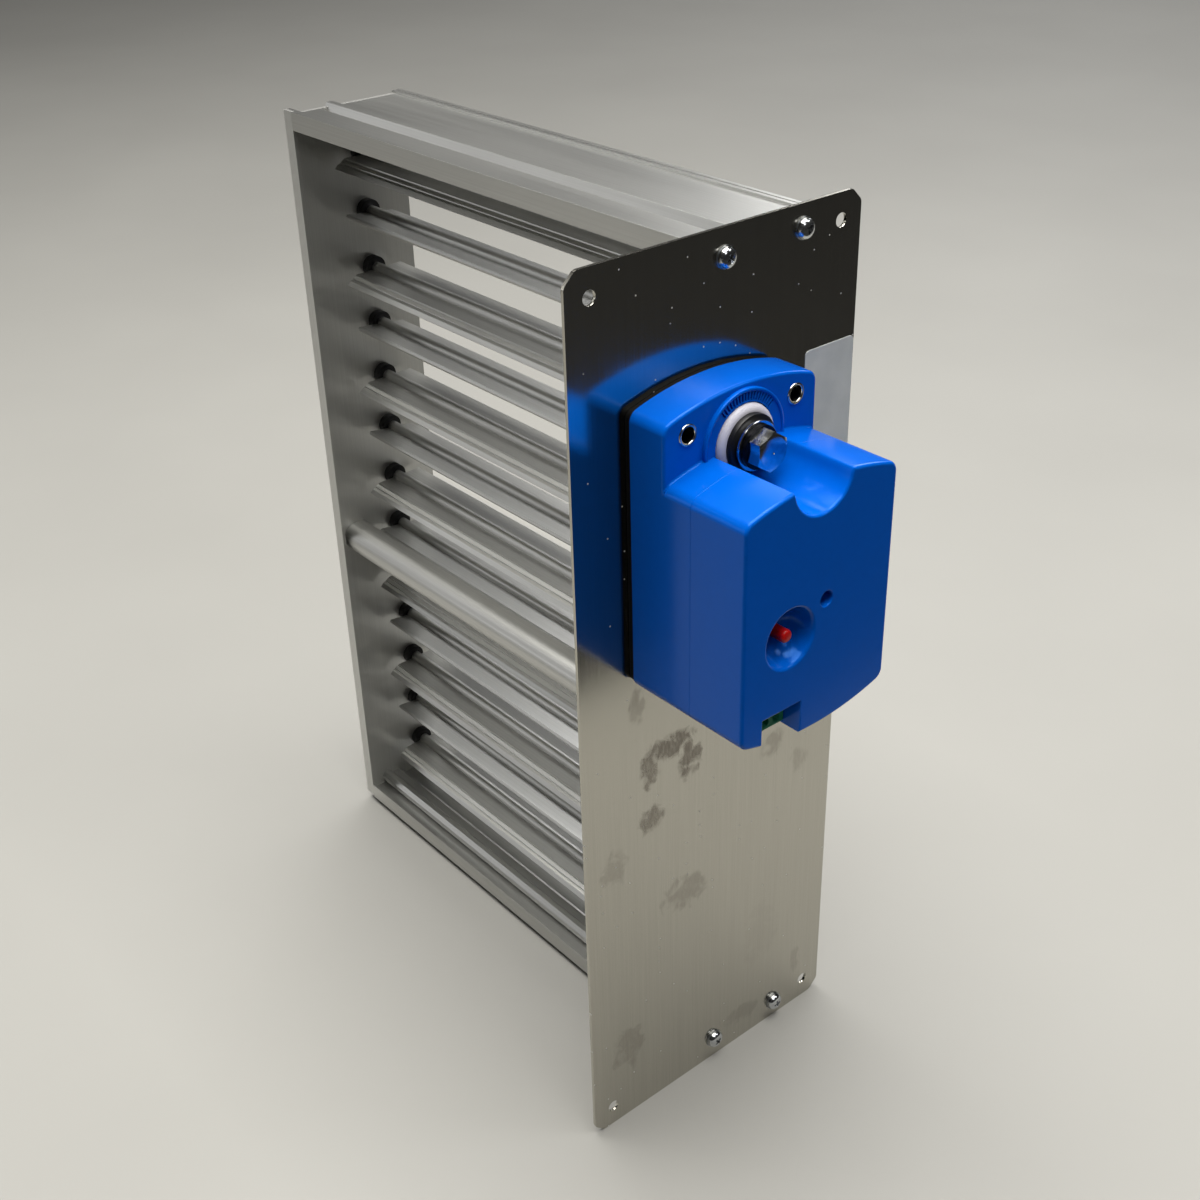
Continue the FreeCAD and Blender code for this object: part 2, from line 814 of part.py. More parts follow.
def clamp_bolt():
    tip = spring_washer_front + bolt_head_height
    corner_radius = bolt_across_flats / math.sqrt(3)
    head = rod(spring_washer_front, tip, shaft_y, shaft_z, corner_radius, bolt_side_count)
    head.rotate(V(0, shaft_y, shaft_z), X_AXIS, bolt_turn)
    head = head.makeChamfer(bolt_chamfer, front_edges(head, tip))
    thread = rod(hub_front - bolt_length, spring_washer_front, shaft_y, shaft_z, bolt_thread / 2)
    return joined([head, thread])


def release_button():
    y = shaft_y + dish_offset
    body = rod(button_tip - button_length, button_tip, y, dish_z, button_radius)
    return body.makeChamfer(button_chamfer, front_edges(body, button_tip))


def terminal_places():
    y0, y1 = notch_sides()
    middle = (y0 + y1) / 2
    z = notch_top - terminal_slack - terminal_height / 2
    first = middle - (terminal_poles - 1) * terminal_pitch / 2
    return [(first + pole * terminal_pitch, z) for pole in range(terminal_poles)]


def terminal_block():
    y0, y1 = notch_sides()
    high = notch_top - terminal_slack
    low = high - terminal_height
    shape = box(notch_floor, terminal_front, y0 + terminal_slack, y1 - terminal_slack, low, high)
    for y, z in terminal_places():
        shape = shape.cut(rod(terminal_front - terminal_well, terminal_front, y, z, terminal_screw_radius))
        back = notch_floor + wire_entry_setback
        front = back + 2 * wire_entry
        entry = box(back, front, y - wire_entry, y + wire_entry, low, low + wire_entry_depth)
        shape = shape.cut(entry)
    return shape


def terminal_screw(y, z):
    face = terminal_front - terminal_screw_depth
    screw = rod(terminal_front - terminal_well, face, y, z, terminal_screw_radius)
    r = terminal_screw_radius + 0.1
    return screw.cut(box(face - 0.7, face, y - r, y + r, z - 0.25, z + 0.25))


# Screws, washers and sticker

def pan_screw(face, y, z, direction, thread, length):
    """Pan-head screw whose head sits on the plane x = face and points along direction."""
    top = face + direction * head_height
    shoulder = face + direction * head_height * 0.5
    profile = [(face, 0), (face, head_radius), (shoulder, head_radius)]
    profile += [(top, head_radius * 0.5), (top, 0)]
    x0, x1 = sorted((face - direction * length, face))
    return joined([turned(profile, y, z), rod(x0, x1, y, z, thread / 2)])


def flat_screw(face, y, z, direction):
    """Countersunk screw, head flush with the plane x = face; direction points into the work."""
    tip = face + direction * screw_length
    neck = face + direction * flat_head_height
    profile = [(face, 0), (face, flat_head_radius), (neck, screw_thread / 2)]
    profile += [(tip, screw_thread / 2), (tip, 0)]
    return turned(profile, y, z)


def rating_sticker():
    edge = plate_width / 2 - 0.3
    face = plate_front + label_thickness
    top = plate_height / 2 - label_drop
    body = box(plate_front, face, edge - label_width, edge, top - label_height, top)
    upright = [e for e in body.Edges if abs(e.tangentAt(e.FirstParameter).x) > 0.99]
    return body.makeChamfer(label_corner, upright)


save("mounting_plate", mounting_plate())
save("top_rail", rail(1))
save("bottom_rail", rail(-1))
save("far_jamb", far_jamb())
save("drive_jamb", drive_jamb())
save("mullion", mullion())

numbers = range(1, blade_count + 1)
save("far_bushings", group([far_bushing(number) for number in numbers]))
save("drive_bushings", group([drive_bushing(number) for number in numbers]))
for number in numbers:
    save("blade_%02d" % number, blade(number))
    save("gear_%02d" % number, gear(number))

head_face = plate_front + washer_thickness
plate_fixings = plate_screw_places()
screws = [pan_screw(head_face, y, z, 1, screw_thread, screw_length) for y, z in plate_fixings]
washers = [tube(plate_front, head_face, y, z, washer_radius, screw_thread / 2) for y, z in plate_fixings]
save("plate_screws", group(screws))
save("screw_washers", group(washers))
mullion_end = mullion_port()
frame_screws = [flat_screw(far_web_outer, y, z, 1) for y, z in plate_fixings + [mullion_end]]
frame_screws.append(flat_screw(drive_web_outer, mullion_end[0], mullion_end[1], -1))
save("frame_screws", group(frame_screws))

driven_z = blade_axis(driven_blade)
blade_end = crank_end_radius + 1
save("blade_crank", crank(blade_y, driven_z, blade_end, blade_stub_radius, small_flat_count))
save("shaft_crank", crank(shaft_y, shaft_z, shaft_hub_radius, shaft_radius, medium_flat_count))
save("link_rod", link_rod())

save("actuator_back_plate", back_plate())
save("rear_housing", rear_housing())
save("front_housing", front_housing())
save("mounting_eyelets", group([eyelet(y, z) for y, z in eyelet_places()]))
run = body_back + screw_length
rear_screws = [pan_screw(0, y, z, -1, actuator_screw_thread, run) for y, z in actuator_screw_places()]
save("actuator_screws", group(rear_screws))
save("drive_shaft", drive_shaft())
save("output_hub", output_hub())
save("friction_ring", stacked_ring(hub_front, friction_ring_front, friction_ring_radius))
save("shaft_washer", stacked_ring(friction_ring_front, shaft_washer_front, shaft_washer_radius))
save("spring_washer", stacked_ring(shaft_washer_front, spring_washer_front, spring_washer_radius))
save("clamp_bolt", clamp_bolt())
save("release_button", release_button())
save("terminal_block", terminal_block())
save("terminal_screws", group([terminal_screw(y, z) for y, z in terminal_places()]))
save("rating_sticker", rating_sticker())
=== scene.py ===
# %% [markdown]
# # A zone damper, dressed for a studio picture
# A zone damper is a small set of louvres for an air duct: an extruded aluminium frame with thirteen
# blades, a stainless side plate that screws to the duct, and a blue actuator that turns the blades.
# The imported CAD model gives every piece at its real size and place, and says which body each piece
# moves with. This file gives the pieces their finishes and models again, with Blender's own tools,
# those that the eye comes close to: housings, screws, hub, washers, bolt, eyelets, button, terminal
# block, bushings and sticker.

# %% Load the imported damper
import math

import bpy
from mathutils import Matrix, Vector


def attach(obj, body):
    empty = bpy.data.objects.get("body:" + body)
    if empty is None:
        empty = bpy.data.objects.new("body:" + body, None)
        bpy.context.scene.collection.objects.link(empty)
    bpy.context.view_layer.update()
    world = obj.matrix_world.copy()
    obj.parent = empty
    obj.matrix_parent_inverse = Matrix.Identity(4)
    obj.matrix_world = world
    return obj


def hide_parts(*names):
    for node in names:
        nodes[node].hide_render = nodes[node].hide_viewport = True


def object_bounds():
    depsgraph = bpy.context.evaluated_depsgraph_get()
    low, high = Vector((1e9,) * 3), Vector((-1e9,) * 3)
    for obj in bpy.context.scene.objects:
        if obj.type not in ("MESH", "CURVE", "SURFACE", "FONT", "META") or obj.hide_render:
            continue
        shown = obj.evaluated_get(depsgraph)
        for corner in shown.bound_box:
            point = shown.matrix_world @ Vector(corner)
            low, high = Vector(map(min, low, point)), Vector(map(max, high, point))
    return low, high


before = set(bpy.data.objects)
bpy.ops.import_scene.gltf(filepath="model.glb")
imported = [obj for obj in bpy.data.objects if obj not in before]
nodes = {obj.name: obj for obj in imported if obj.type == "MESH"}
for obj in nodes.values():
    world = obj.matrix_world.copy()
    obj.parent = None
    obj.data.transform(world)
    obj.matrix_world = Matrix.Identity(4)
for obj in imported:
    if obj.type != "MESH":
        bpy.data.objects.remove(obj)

cad_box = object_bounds()
MM = 0.001
print("pieces in the packed model:", len(nodes))

# %% [markdown]
# ## Small helpers for modelling by hand
# Blender's operators act on whatever is selected, and the loaded model arrives all selected. So
# each piece starts from an empty selection, and faces or edges are then picked in code by their
# place. Every size is written in millimetres and turned to metres at the last moment.

# %% Selecting, placing and finishing
X_AXIS = Vector((1, 0, 0))


def only(*objects):
    """Select these objects and nothing else; the first is the active one."""
    bpy.ops.object.select_all(action="DESELECT")
    for item in objects:
        item.select_set(True)
    bpy.context.view_layer.objects.active = objects[0]


def edit(piece):
    """Enter edit mode on a piece, set to pick vertices, with nothing in it selected."""
    only(piece)
    bpy.ops.object.mode_set(mode="EDIT")
    bpy.ops.mesh.select_mode(type="VERT")
    bpy.ops.mesh.select_all(action="DESELECT")


def leave_edit():
    bpy.ops.object.mode_set(mode="OBJECT")


def pick(piece, kind, test):
    """In edit mode, select the faces, edges or verts that pass test(place, normal or direction)."""
    bpy.ops.mesh.select_mode(type=kind)
    bpy.ops.object.mode_set(mode="OBJECT")
    mesh = piece.data
    for part in mesh.polygons:
        part.select = kind == "FACE" and test(part.center, part.normal)
    for part in mesh.edges:
        first = mesh.vertices[part.vertices[0]].co
        last = mesh.vertices[part.vertices[1]].co
        part.select = kind == "EDGE" and test((first + last) / 2, (last - first).normalized())
    for part in mesh.vertices:
        part.select = kind == "VERT" and test(part.co, part.normal)
    bpy.ops.object.mode_set(mode="EDIT")


def settle(piece):
    """Write the object's place and turn into its mesh, so that the object sits at the origin."""
    only(piece)
    bpy.ops.object.transform_apply(location=True, rotation=True, scale=True)


def apply_modifier(piece, kind, **settings):
    """Add a modifier with these settings and write its result into the mesh."""
    only(piece)
    modifier = piece.modifiers.new(kind.title(), kind)
    for name, value in settings.items():
        setattr(modifier, name, value)
    bpy.ops.object.modifier_apply(modifier=modifier.name)


def smooth(piece, degrees=40):
    """Shade smooth, but keep edges sharper than an angle."""
    only(piece)
    bpy.ops.object.shade_smooth_by_angle(angle=math.radians(degrees))


def place(piece, name, body, material, slot, *replaced):
    """Name a finished piece, give it its finish, and hand it to the body that it moves with."""
    piece.name = name
    piece.data.name = name
    piece.data.materials.clear()
    piece.data.materials.append(material)
    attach(piece, body)
    if replaced:
        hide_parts(*replaced)
    print(name, "has", len(piece.data.polygons), "faces")


def twin(piece):
    """A copy of a piece with a mesh of its own."""
    copy = piece.copy()
    copy.data = piece.data.copy()
    bpy.context.scene.collection.objects.link(copy)
    return copy


def join(pieces):
    """Make one object of several."""
    only(*pieces)
    bpy.ops.object.join()
    return pieces[0]


# %% [markdown]
# ## Drawn outlines
# Screws, washers, hubs and eyelets are turned shapes, and the housings are prisms with a bowed
# outline. By hand one draws such an outline point by point. The first helper does that: it merges a
# plane to one point and extrudes this point along the outline. Half an outline is then spun about
# the axis, and a closed one is filled and pulled to depth, growing or shrinking on the way.

# %% Draw an outline, then spin or pull it
def drawn(points):
    """Extrude one point along places in mm; stays in edit mode with all of it selected."""
    bpy.ops.object.select_all(action="DESELECT")
    bpy.ops.mesh.primitive_plane_add(size=MM)
    piece = bpy.context.object
    edit(piece)
    bpy.ops.mesh.select_all(action="SELECT")
    bpy.ops.mesh.merge(type="CENTER")
    here = Vector(points[0]) * MM
    bpy.ops.transform.translate(value=here)
    for point in points[1:]:
        there = Vector(point) * MM
        bpy.ops.mesh.extrude_region_move(TRANSFORM_OT_translate={"value": there - here})
        here = there
    bpy.ops.mesh.select_all(action="SELECT")
    return piece


def spun(outline, y, z, steps=48):
    """Turn an (x, radius) outline in mm about the X line through (y, z)."""
    piece = drawn([(x, radius, 0) for x, radius in outline])
    bpy.ops.mesh.spin(steps=steps, angle=math.tau, center=(0, 0, 0), axis=X_AXIS)
    bpy.ops.mesh.select_all(action="SELECT")
    bpy.ops.mesh.remove_doubles(threshold=0.002 * MM)
    bpy.ops.mesh.normals_make_consistent(inside=False)
    leave_edit()
    piece.location = (0, y * MM, z * MM)
    settle(piece)
    return piece


def pulled(outline, sections, y, z):
    """Pull a closed (y, z) outline along X through (x, size) sections, sized about (y, z)."""
    x = sections[0][0]
    piece = drawn([(x, point[0], point[1]) for point in outline])
    bpy.ops.mesh.edge_face_add()
    size = sections[0][1]
    for next_x, next_size in sections[1:]:
        bpy.ops.mesh.extrude_region_move(
            TRANSFORM_OT_translate={"value": Vector((next_x - x, 0, 0)) * MM})
        share = next_size / size
        bpy.ops.transform.resize(value=(1, share, share), center_override=(0, y * MM, z * MM))
        x = next_x
        size = next_size
    bpy.ops.mesh.select_all(action="SELECT")
    bpy.ops.mesh.normals_make_consistent(inside=False)
    leave_edit()
    return piece


# %% [markdown]
# ## Softened edges
# No real sheet or extrusion has a perfectly sharp edge, and it is the fine bright line along an
# edge that makes metal look like metal. Where the CAD shape is right, a copy of it is welded, its
# flat triangles are melted into whole faces, and its edges get a small bevel. Weighted normals then
# keep the wide faces flat and let the shading turn only inside the bevels.

# %% Weld a CAD copy and round its edges
def welded(name):
    """A copy of a CAD node with its doubles merged and its flat triangles melted together."""
    copy = twin(nodes[name])
    copy.parent = None
    edit(copy)
    bpy.ops.mesh.select_all(action="SELECT")
    bpy.ops.mesh.remove_doubles(threshold=0.001 * MM)
    bpy.ops.mesh.dissolve_limited(angle_limit=math.radians(0.5))
    leave_edit()
    return copy


def even_shading(piece):
    """Smooth shading that leaves wide faces flat."""
    smooth(piece)
    apply_modifier(piece, "WEIGHTED_NORMAL", keep_sharp=True)


def rounded(piece, edge, segments=2, angle=25):
    """Round every edge sharper than an angle by a width in mm."""
    apply_modifier(piece, "BEVEL", width=edge * MM, segments=segments, limit_method="ANGLE",
                   angle_limit=math.radians(angle))
    even_shading(piece)
    return piece


def round_some(piece, edge, segments, test):
    """Round only the edges that a test on their middle and direction picks."""
    edit(piece)
    pick(piece, "EDGE", test)
    bpy.ops.mesh.bevel(offset=edge * MM, segments=segments, affect="EDGES")
    leave_edit()
    return piece


# %% [markdown]
# ## Bars, blocks and cuts
# Milled and moulded shapes start from a plain bar or block and lose what is cut away. Cutters run a
# little past the faces that they open, so that no two faces lie in one plane.

# %% Bar, block and cut
PAST = 1.0    # how far a cutter runs past the face that it opens


def drum(x0, x1, y, z, radius, steps=96, turn=0.0):
    """A round bar along X, or a many-sided one turned by an angle in degrees."""
    bpy.ops.object.select_all(action="DESELECT")
    bpy.ops.mesh.primitive_cylinder_add(vertices=steps, radius=radius * MM, depth=(x1 - x0) * MM,
                                        location=((x0 + x1) / 2 * MM, 0, 0),
                                        rotation=(0, math.pi / 2, 0))
    piece = bpy.context.object
    settle(piece)
    piece.rotation_euler = (math.radians(turn), 0, 0)
    piece.location = (0, y * MM, z * MM)
    settle(piece)
    return piece


def cuboid(x0, x1, y0, y1, z0, z1):
    """A plain block between these places."""
    bpy.ops.object.select_all(action="DESELECT")
    middle = Vector((x0 + x1, y0 + y1, z0 + z1)) / 2 * MM
    bpy.ops.mesh.primitive_cube_add(size=MM, location=middle)
    piece = bpy.context.object
    piece.scale = (x1 - x0, y1 - y0, z1 - z0)
    settle(piece)
    return piece


def carve(piece, cutter, operation="DIFFERENCE"):
    """Cut, join or overlap a piece with another, which is used up."""
    apply_modifier(piece, "BOOLEAN", object=cutter, operation=operation, solver="MANIFOLD")
    bpy.data.objects.remove(cutter)


def turned_copy(piece, y, z, degrees):
    """A copy of a piece that was modelled about the X axis, turned and moved to (y, z)."""
    copy = twin(piece)
    copy.rotation_euler = (math.radians(degrees), 0, 0)
    copy.location = (0, y * MM, z * MM)
    settle(copy)
    return copy


# %% [markdown]
# ## Colours and node helper
# Colours are written as the hex values that one reads off a swatch. Blender's shaders work in
# linear light, so one function turns them. A second adds a node with its settings and links. The
# rest are short recipes that most finishes share: place, colour ramp, range and relief.

# %% Hex colours, nodes and materials
def colour(code):
    """An sRGB hex colour as linear RGBA."""
    channels = [int(code[i:i + 2], 16) / 255 for i in (1, 3, 5)]
    linear = [c / 12.92 if c <= 0.04045 else ((c + 0.055) / 1.055) ** 2.4 for c in channels]
    return (*linear, 1)


def add(tree, kind, inputs=None, **settings):
    """Add a node; inputs maps a socket's name or number to a value or to another node's output."""
    node = tree.nodes.new(kind)
    for name, value in settings.items():
        setattr(node, name, value)
    for socket, value in (inputs or {}).items():
        if isinstance(value, bpy.types.NodeSocket):
            tree.links.new(value, node.inputs[socket])
        else:
            node.inputs[socket].default_value = value
    return node


def surface(name, **sockets):
    """A new material with its shader's sockets set; returns material, tree and shader."""
    material = bpy.data.materials.new(name)
    material.use_nodes = True
    tree = material.node_tree
    shader = tree.nodes["Principled BSDF"]
    for socket, value in sockets.items():
        shader.inputs[socket.replace("_", " ")].default_value = value
    return material, tree, shader


def position(tree, stretch=(1, 1, 1)):
    """Object coordinates in millimetres, divided along each axis by a length in mm."""
    place_of = add(tree, "ShaderNodeTexCoord")
    scale = [1000 / length for length in stretch]
    mapping = add(tree, "ShaderNodeMapping", {"Vector": place_of.outputs["Object"], "Scale": scale})
    return mapping.outputs["Vector"]


def shades(tree, factor, stops):
    """A colour ramp over (place, hex) stops."""
    ramp = add(tree, "ShaderNodeValToRGB", {"Fac": factor})
    elements = ramp.color_ramp.elements
    while len(elements) < len(stops):
        elements.new(0.5)
    for element, (spot, code) in zip(elements, stops):
        element.position = spot
        element.color = colour(code)
    return ramp.outputs["Color"]


def spread(tree, value, low, high, new_low, new_high):
    """Map a value from one range to another, clamped."""
    node = add(tree, "ShaderNodeMapRange", {"Value": value, "From Min": low, "From Max": high,
                                            "To Min": new_low, "To Max": new_high})
    return node.outputs["Result"]


def relief(tree, shader, height, depth, strength=1.0):
    """Bump from a 0 to 1 height over a depth in mm."""
    bump = add(tree, "ShaderNodeBump", {"Height": height, "Distance": depth * MM,
                                        "Strength": strength})
    tree.links.new(bump.outputs["Normal"], shader.inputs["Normal"])


# %% [markdown]
# ## Satin extruded aluminium
# Frame and blades are extrusions in mill finish. The die draws fine lines along the length, which
# here is X on rails, blades and mullion and Z on the jambs, and the oxide makes the surface satin
# grey. Noise stretched along the length gives two widths of line: scratches a few tenths of a
# millimetre wide, and the shallow waves a millimetre or two across that a worn die leaves. Rails
# are the glossiest of the three, blades and mullion have the deepest waves, jambs are the dullest.

# %% Extruded aluminium
DIE_LINES = (0.4, 150)    # width and length in mm
DIE_WAVES = (1.7, 700)
OXIDE_CLOUDS = (45, 160)
LINE_DEPTH = 0.008


def extruded_aluminium(name, along, dark, light, roughness, wave_share):
    """Aluminium drawn along an axis (0 to 2); wave_share is the waves' depth against the lines'."""
    material, tree, shader = surface(name, Metallic=1.0)
    noises = []
    for width, length in (DIE_LINES, DIE_WAVES, OXIDE_CLOUDS):
        stretch = [width, width, width]
        stretch[along] = length
        noises.append(add(tree, "ShaderNodeTexNoise", {"Vector": position(tree, stretch),
                                                       "Scale": 1.0, "Detail": 3.0}))
    lines, waves, clouds = noises
    mixed = add(tree, "ShaderNodeMath", {0: lines.outputs["Fac"], 1: clouds.outputs["Fac"]},
                operation="ADD")
    share = spread(tree, mixed.outputs["Value"], 0.7, 1.3, 0.0, 1.0)
    tint = shades(tree, share, [(0.0, dark), (1.0, light)])
    tree.links.new(tint, shader.inputs["Base Color"])
    rough = spread(tree, share, 0.0, 1.0, roughness + 0.04, roughness - 0.04)
    tree.links.new(rough, shader.inputs["Roughness"])
    height = add(tree, "ShaderNodeMath", {0: waves.outputs["Fac"], 1: wave_share,
                                          2: lines.outputs["Fac"]}, operation="MULTIPLY_ADD")
    relief(tree, shader, height.outputs["Value"], LINE_DEPTH)
    return material


# Fresh from the die: a soft sheen runs along the rail.
rail_aluminium = extruded_aluminium("aluminium_rail_along_x", 0, "#B6B6B3", "#C3C3C0", 0.33, 1.4)
# Thin and drawn fast: the waves break the sheen into long light and dark bands.
blade_aluminium = extruded_aluminium("aluminium_blade_along_x", 0, "#B7B7B4", "#C7C7C4", 0.40, 2.2)
# Handled and dull: an even grey that follows the light.
jamb_aluminium = extruded_aluminium("aluminium_extruded_along_z", 2, "#BCBCB9", "#C9C9C6",
                                    0.44, 0.5)
print("aluminium ready:", rail_aluminium.name, blade_aluminium.name, jamb_aluminium.name)

# %% [markdown]
# ## Brushed stainless sheet
# The side plate is stainless sheet with a fine vertical grain. It is much glossier than the
# extrusions: it shows blurred pictures of the floor and of the blue housing. Fingers have left a
# few dull marks on its lower half, each with its own place, and specks of dust lie all over it. A
# mark is an ellipse whose rim is torn by noise, and within it a second noise leaves streaks. The
# first four ellipses run together into one bent mark.

# %% Stainless sheet with finger marks and dust
# Each mark: y and z of its middle, half its width and height in mm, and how dull it is.
FINGER_MARKS = [(-23, -7, 13, 6, 1.0), (-13, -17, 6, 10, 1.0), (-33, -13, 6, 9, 0.9),
                (-32, -35, 7, 7, 0.8), (-15, -79, 12, 9, 0.45), (-50, -49, 7, 9, 0.35),
                (-45, -141, 9, 13, 0.4), (30, -31, 8, 7, 0.45), (45, -46, 6, 6, 0.3),
                (-38, 17, 4, 8, 0.4), (18, -164, 14, 5, 0.3), (49, -152, 3, 9, 0.3),
                (27, -126, 12, 18, 0.12)]
DUST_SPACING = 7    # mm between the cells of which about one in seven holds a speck


def finger_marks(tree, across, up_plate, torn, streaks):
    """How dull the sheet is, from 0 to 1: the strongest of the torn ellipses at each place."""
    total = None
    for y, z, half_width, half_height, strength in FINGER_MARKS:
        parts = []
        for coordinate, centre, half in ((across, y, half_width), (up_plate, z, half_height)):
            away = add(tree, "ShaderNodeMath", {0: coordinate, 1: centre}, operation="SUBTRACT")
            share = add(tree, "ShaderNodeMath", {0: away.outputs["Value"], 1: half},
                        operation="DIVIDE")
            parts.append(add(tree, "ShaderNodeMath", {0: share.outputs["Value"], 1: 2.0},
                             operation="POWER").outputs["Value"])
        distance = add(tree, "ShaderNodeMath", {0: parts[0], 1: parts[1]}, operation="ADD")
        frayed = add(tree, "ShaderNodeMath", {0: torn, 1: 3.2, 2: distance.outputs["Value"]},
                     operation="MULTIPLY_ADD")
        mark = spread(tree, frayed.outputs["Value"], 1.8, 2.5, strength, 0.0)
        if total is None:
            total = mark
        else:
            larger = add(tree, "ShaderNodeMath", {0: total, 1: mark}, operation="MAXIMUM")
            total = larger.outputs["Value"]
    streaky = add(tree, "ShaderNodeMath", {0: total, 1: streaks}, operation="MULTIPLY")
    return streaky.outputs["Value"]


def dust(tree, across, up_plate):
    """Specks about half a millimetre wide, one to every three square centimetres or so."""
    flat = add(tree, "ShaderNodeCombineXYZ", {"X": across, "Y": up_plate})
    cells = add(tree, "ShaderNodeTexVoronoi", {"Vector": flat.outputs["Vector"],
                                               "Scale": 1 / DUST_SPACING},
                voronoi_dimensions="2D")
    near = spread(tree, cells.outputs["Distance"], 0.03, 0.05, 1.0, 0.0)
    chance = add(tree, "ShaderNodeSeparateXYZ", {"Vector": cells.outputs["Color"]})
    kept = spread(tree, chance.outputs["X"], 0.84, 0.86, 0.0, 1.0)
    specks = add(tree, "ShaderNodeMath", {0: near, 1: kept}, operation="MULTIPLY")
    return specks.outputs["Value"]


def brushed_stainless():
    """Brushed sheet: a blurred mirror, dull and brownish where it was touched."""
    material, tree, shader = surface("stainless_sheet_brushed", Anisotropic=0.35)
    axes = add(tree, "ShaderNodeSeparateXYZ", {"Vector": position(tree)})
    lines = add(tree, "ShaderNodeTexNoise", {"Vector": position(tree, (2, 0.3, 40)),
                                             "Scale": 1.0, "Detail": 4.0})
    tear = add(tree, "ShaderNodeTexNoise", {"Vector": position(tree, (6, 5, 6)), "Scale": 1.0,
                                            "Detail": 5.0, "Distortion": 0.8})
    streak = add(tree, "ShaderNodeTexNoise", {"Vector": position(tree, (2, 1.1, 3.5)),
                                              "Scale": 1.0, "Detail": 3.0})
    streaks = spread(tree, streak.outputs["Fac"], 0.3, 0.6, 0.7, 1.0)
    marks = finger_marks(tree, axes.outputs["Y"], axes.outputs["Z"], tear.outputs["Fac"], streaks)
    tint = shades(tree, lines.outputs["Fac"], [(0.3, "#B1AEA4"), (0.7, "#BBB8AE")])
    dulled = add(tree, "ShaderNodeMix", {"Factor": marks, "A": tint, "B": colour("#827C73")},
                 data_type="RGBA")
    specks = dust(tree, axes.outputs["Y"], axes.outputs["Z"])
    dusted = add(tree, "ShaderNodeMix", {"Factor": specks, "A": dulled.outputs["Result"],
                                         "B": colour("#C9C8C4")}, data_type="RGBA")
    tree.links.new(dusted.outputs["Result"], shader.inputs["Base Color"])
    bare = spread(tree, specks, 0.0, 1.0, 1.0, 0.0)
    tree.links.new(bare, shader.inputs["Metallic"])
    fine = spread(tree, lines.outputs["Fac"], 0.3, 0.7, 0.13, 0.19)
    rough = add(tree, "ShaderNodeMath", {0: marks, 1: 0.15, 2: fine}, operation="MULTIPLY_ADD")
    tree.links.new(rough.outputs["Value"], shader.inputs["Roughness"])
    relief(tree, shader, lines.outputs["Fac"], 0.003, 0.4)
    return material


stainless = brushed_stainless()
print("stainless ready, finger marks on it:", len(FINGER_MARKS))

# %% [markdown]
# ## Moulded plastics
# The housing is semi-gloss moulded ABS and the plate behind it matte ABS. Bushings and gears are
# nylon, the hub is acetal, the terminal block polyamide and the friction ring rubber. Moulded
# plastic shows a faint orange peel a few millimetres across, as bump, and a fine grain that makes
# it a little duller in places. The blue pigment tints the sheen as well.

# %% Moulded plastic
PEEL_DEPTH = 0.006
GRAIN = 0.4    # mm


def moulded(name, code, roughness, peel=3.0, sheen="#FFFFFF"):
    """Plastic of one colour; peel is the width of its waves in mm, sheen the tint of its gloss."""
    material, tree, shader = surface(name, IOR=1.4, Specular_Tint=colour(sheen))
    waves = add(tree, "ShaderNodeTexNoise", {"Vector": position(tree, (peel, peel, peel)),
                                             "Scale": 1.0, "Detail": 2.0})
    grain = add(tree, "ShaderNodeTexNoise", {"Vector": position(tree, (GRAIN, GRAIN, GRAIN)),
                                             "Scale": 1.0, "Detail": 2.0})
    darker = spread(tree, waves.outputs["Fac"], 0.3, 0.7, 0.96, 1.0)
    base = add(tree, "ShaderNodeMix", {"Factor": 1.0, "A": colour(code)}, data_type="RGBA",
               blend_type="MULTIPLY")
    tree.links.new(darker, base.inputs["B"])
    tree.links.new(base.outputs["Result"], shader.inputs["Base Color"])
    rough = spread(tree, grain.outputs["Fac"], 0.3, 0.7, roughness - 0.03, roughness + 0.04)
    tree.links.new(rough, shader.inputs["Roughness"])
    relief(tree, shader, waves.outputs["Fac"], PEEL_DEPTH, 0.5)
    return material


# Semi-gloss: deep blue faces with soft light lines along the rounded edges.
blue_abs = moulded("abs_blue_semi_gloss", "#0052B6", 0.17, sheen="#66AAFF")
# Matte near-black: the back plate's own black, darkened further as painted shade so the gap behind
# the housing reads dark.
black_abs_painted_shade = moulded("abs_black_painted_shade", "#060607", 0.6, sheen="#808080")
# Waxy and off-white, with a broad soft highlight.
white_acetal = moulded("acetal_white", "#BDBCC6", 0.38)
# Pressed rubber: black, slightly shiny on its rim.
black_rubber = moulded("rubber_black", "#0A0A0B", 0.42, 1.5)
# Matte black.
black_nylon = moulded("nylon_black_matte", "#0B0B0C", 0.55)
# A red that shows from across the room, with a small highlight on the tip.
red_abs = moulded("abs_red_semi_gloss", "#B5100F", 0.3)
# Satin bluish green.
green_polyamide = moulded("polyamide_green", "#147350", 0.45)
print("plastics ready")

# %% [markdown]
# ## Zinc, nickel and the silver sticker
# Screws, bolt and its washer are steel with bright zinc plating: a bluish white metal, fairly
# glossy, with slight clouds from the bath. Cranks and plain washers are duller, because their zinc
# is passivated. The spring washer is blackened, and the eyelets are nickel plated. The sticker is
# metallised film: satin, a little bluish, with the faint ripple of a sheet glued down by hand. Its
# clear top coat makes it look only partly like metal. It stays bare.

